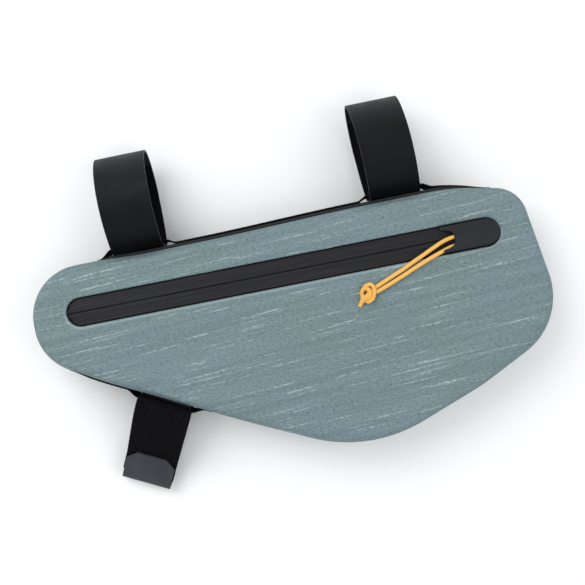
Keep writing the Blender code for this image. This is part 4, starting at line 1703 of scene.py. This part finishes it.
@dataclass
class StrapSet:
    """The two closed top straps and the folded lower strap."""

    workshop: Workshop
    outline: Outline
    depth: float = 0.055
    gap: float = 0.0003
    lap_gap: float = 0.0005
    thickness: float = 0.0015
    width: float = 0.038
    pile_width: float = 0.040
    pile_height: float = 0.00022
    webbing_width: float = 0.025
    strip_thickness: float = 0.0022
    floor_clearance: float = 0.0003
    nose_margin: float = 0.087
    tail_margin: float = 0.1014
    tail_lean: float = math.radians(2.8)
    down_margin: float = 0.0857
    loop_height: float = 0.0745
    loop_front: float = 0.0345
    down_length: float = 0.0715
    down_front: float = 0.018
    tab_length: float = 0.0235
    # how much brighter the tab is painted, a painted highlight
    tab_painted_highlight: float = 4.6
    tab_corner_width: float = 0.008
    tab_corner_length: float = 0.007
    # height and depth of a top strap's smooth section, as shares of its reach
    top_rubber: tuple = (
        (0.060, 0.530),
        (0.150, 0.710),
        (0.290, 0.890),
        (0.460, 0.990),
        (0.640, 0.960),
        (0.810, 0.780),
        (0.930, 0.500),
        (0.989, 0.160),
        (0.970, -0.230),
        (0.880, -0.580),
        (0.740, -0.850),
        (0.560, -0.985),
    )
    top_pile: tuple = ((0.085, -0.640), (0.200, -0.800), (0.360, -0.890))
    down_pile: tuple = (
        (0.065, 0.960),
        (0.150, 0.990),
        (0.290, 0.700),
        (0.480, 0.090),
        (0.660, -0.330),
        (0.780, -0.490),
        (0.890, -0.575),
    )
    down_rubber: tuple = (
        (0.060, -0.690),
        (0.150, -0.880),
        (0.290, -0.975),
        (0.460, -1.000),
        (0.700, -1.000),
        (0.880, -0.985),
        (0.962, -0.900),
        (0.989, -0.760),
        (0.972, -0.625),
    )
    random: np.random.Generator = field(default_factory=lambda: np.random.default_rng(SEED))

    def build(self) -> list[StrapSeat]:
        """Make the three straps.

        Returns:
            The seats of the nose, tail and lower straps.
        """
        low, high = self.outline.ends()
        nose = self.seat(low + self.nose_margin, True, 0.0)
        tail = self.seat(high - self.tail_margin, True, self.tail_lean)
        down = self.seat(low + self.down_margin, False, 0.0)
        self.top_strap("nose_strap", nose)
        self.top_strap("tail_strap", tail)
        self.down_strap(down)
        return [nose, tail, down]

    def seat(self, x: float, upper: bool, lean: float) -> StrapSeat:
        """Return the seat of a strap on the bag's edge."""
        place, normal = self.outline.edge_at(x, upper)
        return StrapSeat(place, normal, lean)

    def layer(self, layer: Layer, base: float) -> float:
        """Return the height of a layer's middle under the webbing."""
        first = base + self.gap + self.thickness / 2
        return first + layer.value * (self.thickness + self.gap)

    def rows(
        self, shares: Sequence[tuple], base: float, front: float, length: float
    ) -> list[tuple]:
        """Turn rows of shares into places outward and upward from the foot.

        Args:
            shares: Each row's way out, and its height from the middle.
            base: How far out the foot stands.
            front: The reach above the middle.
            length: The strap's reach outward.

        Returns:
            The places.
        """
        back = self.depth / 2 - self.floor_clearance - self.thickness / 2
        result = []
        for out, across in shares:
            reach = front if across > 0 else back
            result.append((base + out * length, self.depth / 2 + across * reach))
        return result

    def tucked(self, height: float, towards: int) -> list[tuple]:
        """Return the rows of a section's end that lies under the webbing."""
        middle = self.depth / 2
        reach = towards * self.webbing_width / 2
        return [(height, middle - 0.85 * reach), (height, middle), (height, middle + 1.05 * reach)]

    def ribbon(
        self,
        name: str,
        seat: StrapSeat,
        route: Sequence[Vector],
        width: float,
        step: float,
        fuzz: float = 0.0,
        corners: bool = False,
    ) -> bpy.types.Object:
        """Make a ribbon along a flat route that stands on the bag's edge.

        Args:
            name: The piece's name.
            seat: Where the ribbon stands.
            route: Its centre line, outward and upward from the foot.
            width: The ribbon's width.
            step: The distance between its rows.
            fuzz: How far the pile of its faces stands up, or 0.
            corners: True where the end's corners are cut.

        Returns:
            The piece, with its cut edges marked.
        """
        points = resample(route, step)
        normals = flat_normals(points)
        total = route_length(points)
        across = np.linspace(-1.0, 1.0, max(9, round(width / max(step, 0.001))))
        half = self.thickness / 2
        section = [(share, half) for share in across]
        section += [(1.0, half * 0.5), (1.0, 0.0), (1.0, -half * 0.5)]
        section += [(share, -half) for share in across[::-1]]
        section += [(-1.0, -half * 0.5), (-1.0, 0.0), (-1.0, half * 0.5)]
        rows = []
        edges = []
        travelled = 0.0
        for i, (point, normal) in enumerate(zip(points, normals)):
            if i:
                travelled += (point - points[i - 1]).length
            reach = width / 2
            if corners:
                left = total - travelled
                reach -= self.tab_corner_width * max(0.0, 1 - left / self.tab_corner_length)
            ring = []
            for share, height in section:
                inside = abs(share) < 0.97 and abs(height) == half
                lift = fuzz * float(self.random.uniform(-0.1, 1.0)) if inside and fuzz else 0.0
                rise = height + math.copysign(lift, height)
                spot = point + normal * rise
                ring.append(seat.world(spot.x, share * reach, spot.y))
                if abs(share) == 1.0 and abs(height) < half:
                    edges.append(self.key(ring[-1]))
            rows.append(ring)
        piece = surface_from_rows(name, rows, True, False)
        close_solid(piece)
        marked = set(edges)
        point_attribute(piece, "pale_edge", lambda place: float(self.key(place) in marked))
        shade(piece, 50)
        return piece

    @staticmethod
    def key(place: Vector) -> tuple:
        """Return a place rounded so that it can be looked up."""
        return tuple(np.round(tuple(place), 6))

    def top_strap(self, name: str, seat: StrapSeat) -> None:
        """Make one top strap: a smooth section closed over the end of a pile one.

        Args:
            name: The strap's name.
            seat: Where it stands.
        """
        base = self.strip_thickness + self.gap
        rows = self.tucked(self.layer(Layer.FIRST, base), 1)
        rows += self.rows(self.top_rubber, base, self.loop_front, self.loop_height)
        coarse = smooth_route(rows, 3)
        route = smooth_route(rows, 8)
        piece = self.ribbon(name + "_smooth", seat, route, self.width, 0.0016)
        # painted shade at the foot and painted highlight at the bend
        point_attribute(piece, "painted_light_share", lambda place: self.top_painted_light(seat, place))
        self.workshop.hand_over(piece, "strap_rubber", name)
        covered = offset_route(coarse, -self.thickness - self.lap_gap)[-7:]
        rows = self.tucked(self.layer(Layer.SECOND, base), -1)
        rows += self.rows(self.top_pile, base, self.loop_front, self.loop_height)
        rows += [tuple(point) for point in covered[::-3]]
        route = smooth_route(rows, 8)
        piece = self.ribbon(name + "_loops", seat, route, self.width, 0.0010, self.pile_height)
        self.workshop.hand_over(piece, "strap_pile", name + "_pile")

    def top_painted_light(self, seat: StrapSeat, place: Vector) -> float:
        """Return a top strap's painted light: painted shade at its foot, painted highlight at its
        bend.
        """
        out = seat.reach_of(place) / self.loop_height
        return 0.08 + 0.32 * soft_step(out, 0.06, 0.30) + 1.1 * soft_step(out, 0.62, 0.95)

    def down_painted_light(self, seat: StrapSeat, place: Vector) -> float:
        """Return the lower strap's painted light: a painted highlight on its tab, painted shade
        elsewhere.
        """
        out = seat.reach_of(place)
        tab = out > self.down_length - 1.6 * self.tab_length and place.z > 0.004
        return self.tab_painted_highlight if tab else 0.4

    def down_strap(self, seat: StrapSeat) -> None:
        """Make the lower strap, whose tab folds back over the pile's face.

        Args:
            seat: Where it stands.
        """
        rows = self.tucked(self.layer(Layer.SECOND, 0.0), 1)
        rows += self.rows(self.down_pile, 0.0, self.down_front, self.down_length)
        pile_route = smooth_route(rows, 3)
        route = smooth_route(rows, 8)
        piece = self.ribbon(
            "down_strap_loops", seat, route, self.pile_width, 0.0010, self.pile_height
        )
        self.workshop.hand_over(piece, "strap_pile", "down_strap_pile")
        rows = self.tucked(self.layer(Layer.FIRST, 0.0), -1)
        rows += self.rows(self.down_rubber, 0.0, self.down_front, self.down_length)
        end = self.down_length - self.tab_length
        covered = offset_route(pile_route, self.thickness + self.lap_gap)
        tab = [tuple(point) for point in covered[::-1] if end < point.x < 0.90 * self.down_length]
        rows += tab[::2]
        route = smooth_route(rows, 8)
        piece = self.ribbon("down_strap_smooth", seat, route, self.width, 0.0012, corners=True)
        # painted highlight on the tab and painted shade on the rest
        point_attribute(piece, "painted_light_share", lambda place: self.down_painted_light(seat, place))
        self.workshop.hand_over(piece, "strap_rubber", "down_strap")


@dataclass
class WebbingSet:
    """The grey base strip and the two webbing bands that hold the straps."""

    workshop: Workshop
    outline: Outline
    seats: Sequence[StrapSeat]
    depth: float = 0.055
    gap: float = 0.0003
    width: float = 0.025
    thickness: float = 0.0014
    strip_thickness: float = 0.0022
    strap_thickness: float = 0.0015
    strap_width: float = 0.038
    pile_width: float = 0.040
    ramp: float = 0.009
    lead: float = 0.0127
    rear_margin: float = 0.031
    down_nose_lead: float = 0.046
    down_keel_lead: float = 0.012
    rib_pitch: float = 0.0012
    nose_taper: float = 0.013
    rear_taper: float = 0.040
    end_share: float = 0.12

    def build(self) -> None:
        """Make the strip and both bands."""
        nose, tail, down = self.seats
        _, high = self.outline.ends()
        start = nose.place.x - self.strap_width / 2 - self.lead
        end = high - self.rear_margin
        rise = 2 * (self.strap_thickness + self.gap)
        strip = self.band("base_strip", start, end, True, (), self.gap, self.strip_thickness, 0.0)
        self.workshop.hand_over(strip, "base_strip", "top_base_strip")
        lifts = [(seat.place, self.strap_width / 2 + 0.0012, rise) for seat in (nose, tail)]
        base = self.strip_thickness + 2 * self.gap
        band = self.band("top_band", start, end, True, lifts, base, self.thickness, 0.00012)
        self.workshop.hand_over(band, "webbing", "top_webbing")
        start = down.place.x - self.pile_width / 2 - self.down_nose_lead
        end = down.place.x + self.pile_width / 2 + self.down_keel_lead
        lifts = [(down.place, self.pile_width / 2 + 0.0012, rise)]
        band = self.band("down_band", start, end, False, lifts, self.gap, self.thickness, 0.00012)
        self.workshop.hand_over(band, "webbing", "down_webbing")

    def band(
        self,
        name: str,
        start: float,
        end: float,
        upper: bool,
        lifts: Sequence[tuple],
        inner: float,
        thickness: float,
        rib: float,
    ) -> bpy.types.Object:
        """Make a band along the bag's edge that rises over each strap.

        Args:
            name: The piece's name.
            start: The x of its nose end.
            end: The x of its other end.
            upper: True for the bag's upper edge.
            lifts: Each strap's place, half width and the rise over it.
            inner: The height of the band's inner face over the gusset.
            thickness: The band's thickness.
            rib: The height of its woven ribs.

        Returns:
            The piece.
        """
        count = max(8, round((end - start) / 0.0015))
        shares = np.linspace(-1.0, 1.0, 42)
        rows = []
        for k in range(count + 1):
            x = start + (end - start) * k / count
            place, normal = self.outline.edge_at(x, upper)
            rear_taper = self.rear_taper if upper else self.nose_taper
            full = min(1.0, (x - start) / self.nose_taper, (end - x) / rear_taper)
            full = max(self.end_share, full)
            height = inner * full if inner > self.gap else inner
            for centre, half_width, rise in lifts:
                away = (place - centre).length - half_width
                height += rise * soft_step(1.0 - away / self.ramp, 0.0, 1.0)
            ring = []
            for share in shares:
                ripple = rib * math.cos(TURN * share * self.width / 2 / self.rib_pitch)
                ripple += rib * (0.5 if k % 2 else -0.5)
                edge = 0.25 * thickness * soft_step(abs(share), 0.93, 1.0)
                ring.append((share, height + (thickness + ripple - rib * 1.5 - edge) * full))
            ring += [(share, height + 0.0002 * (abs(share) > 0.98)) for share in shares[::-4]]
            row = []
            for share, rise in ring:
                spot = place + normal * rise
                row.append((spot.x, spot.y, self.depth / 2 + share * self.width / 2))
            rows.append(row)
        piece = surface_from_rows(name, rows, True, False)
        close_solid(piece)
        shade(piece, 50)
        return piece


def main() -> None:
    """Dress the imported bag, piece by piece."""
    logging.basicConfig(level=logging.INFO, format="%(name)s %(message)s")
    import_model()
    Studio().build()
    workshop = Workshop()
    outline = Outline()
    slot = Slot(outline)
    PullCord(workshop).build()
    BagShell(workshop, slot).build()
    Zip(workshop, slot).build()
    seats = StrapSet(workshop, outline).build()
    WebbingSet(workshop, outline, seats).build()


if __name__ == "__main__":
    main()
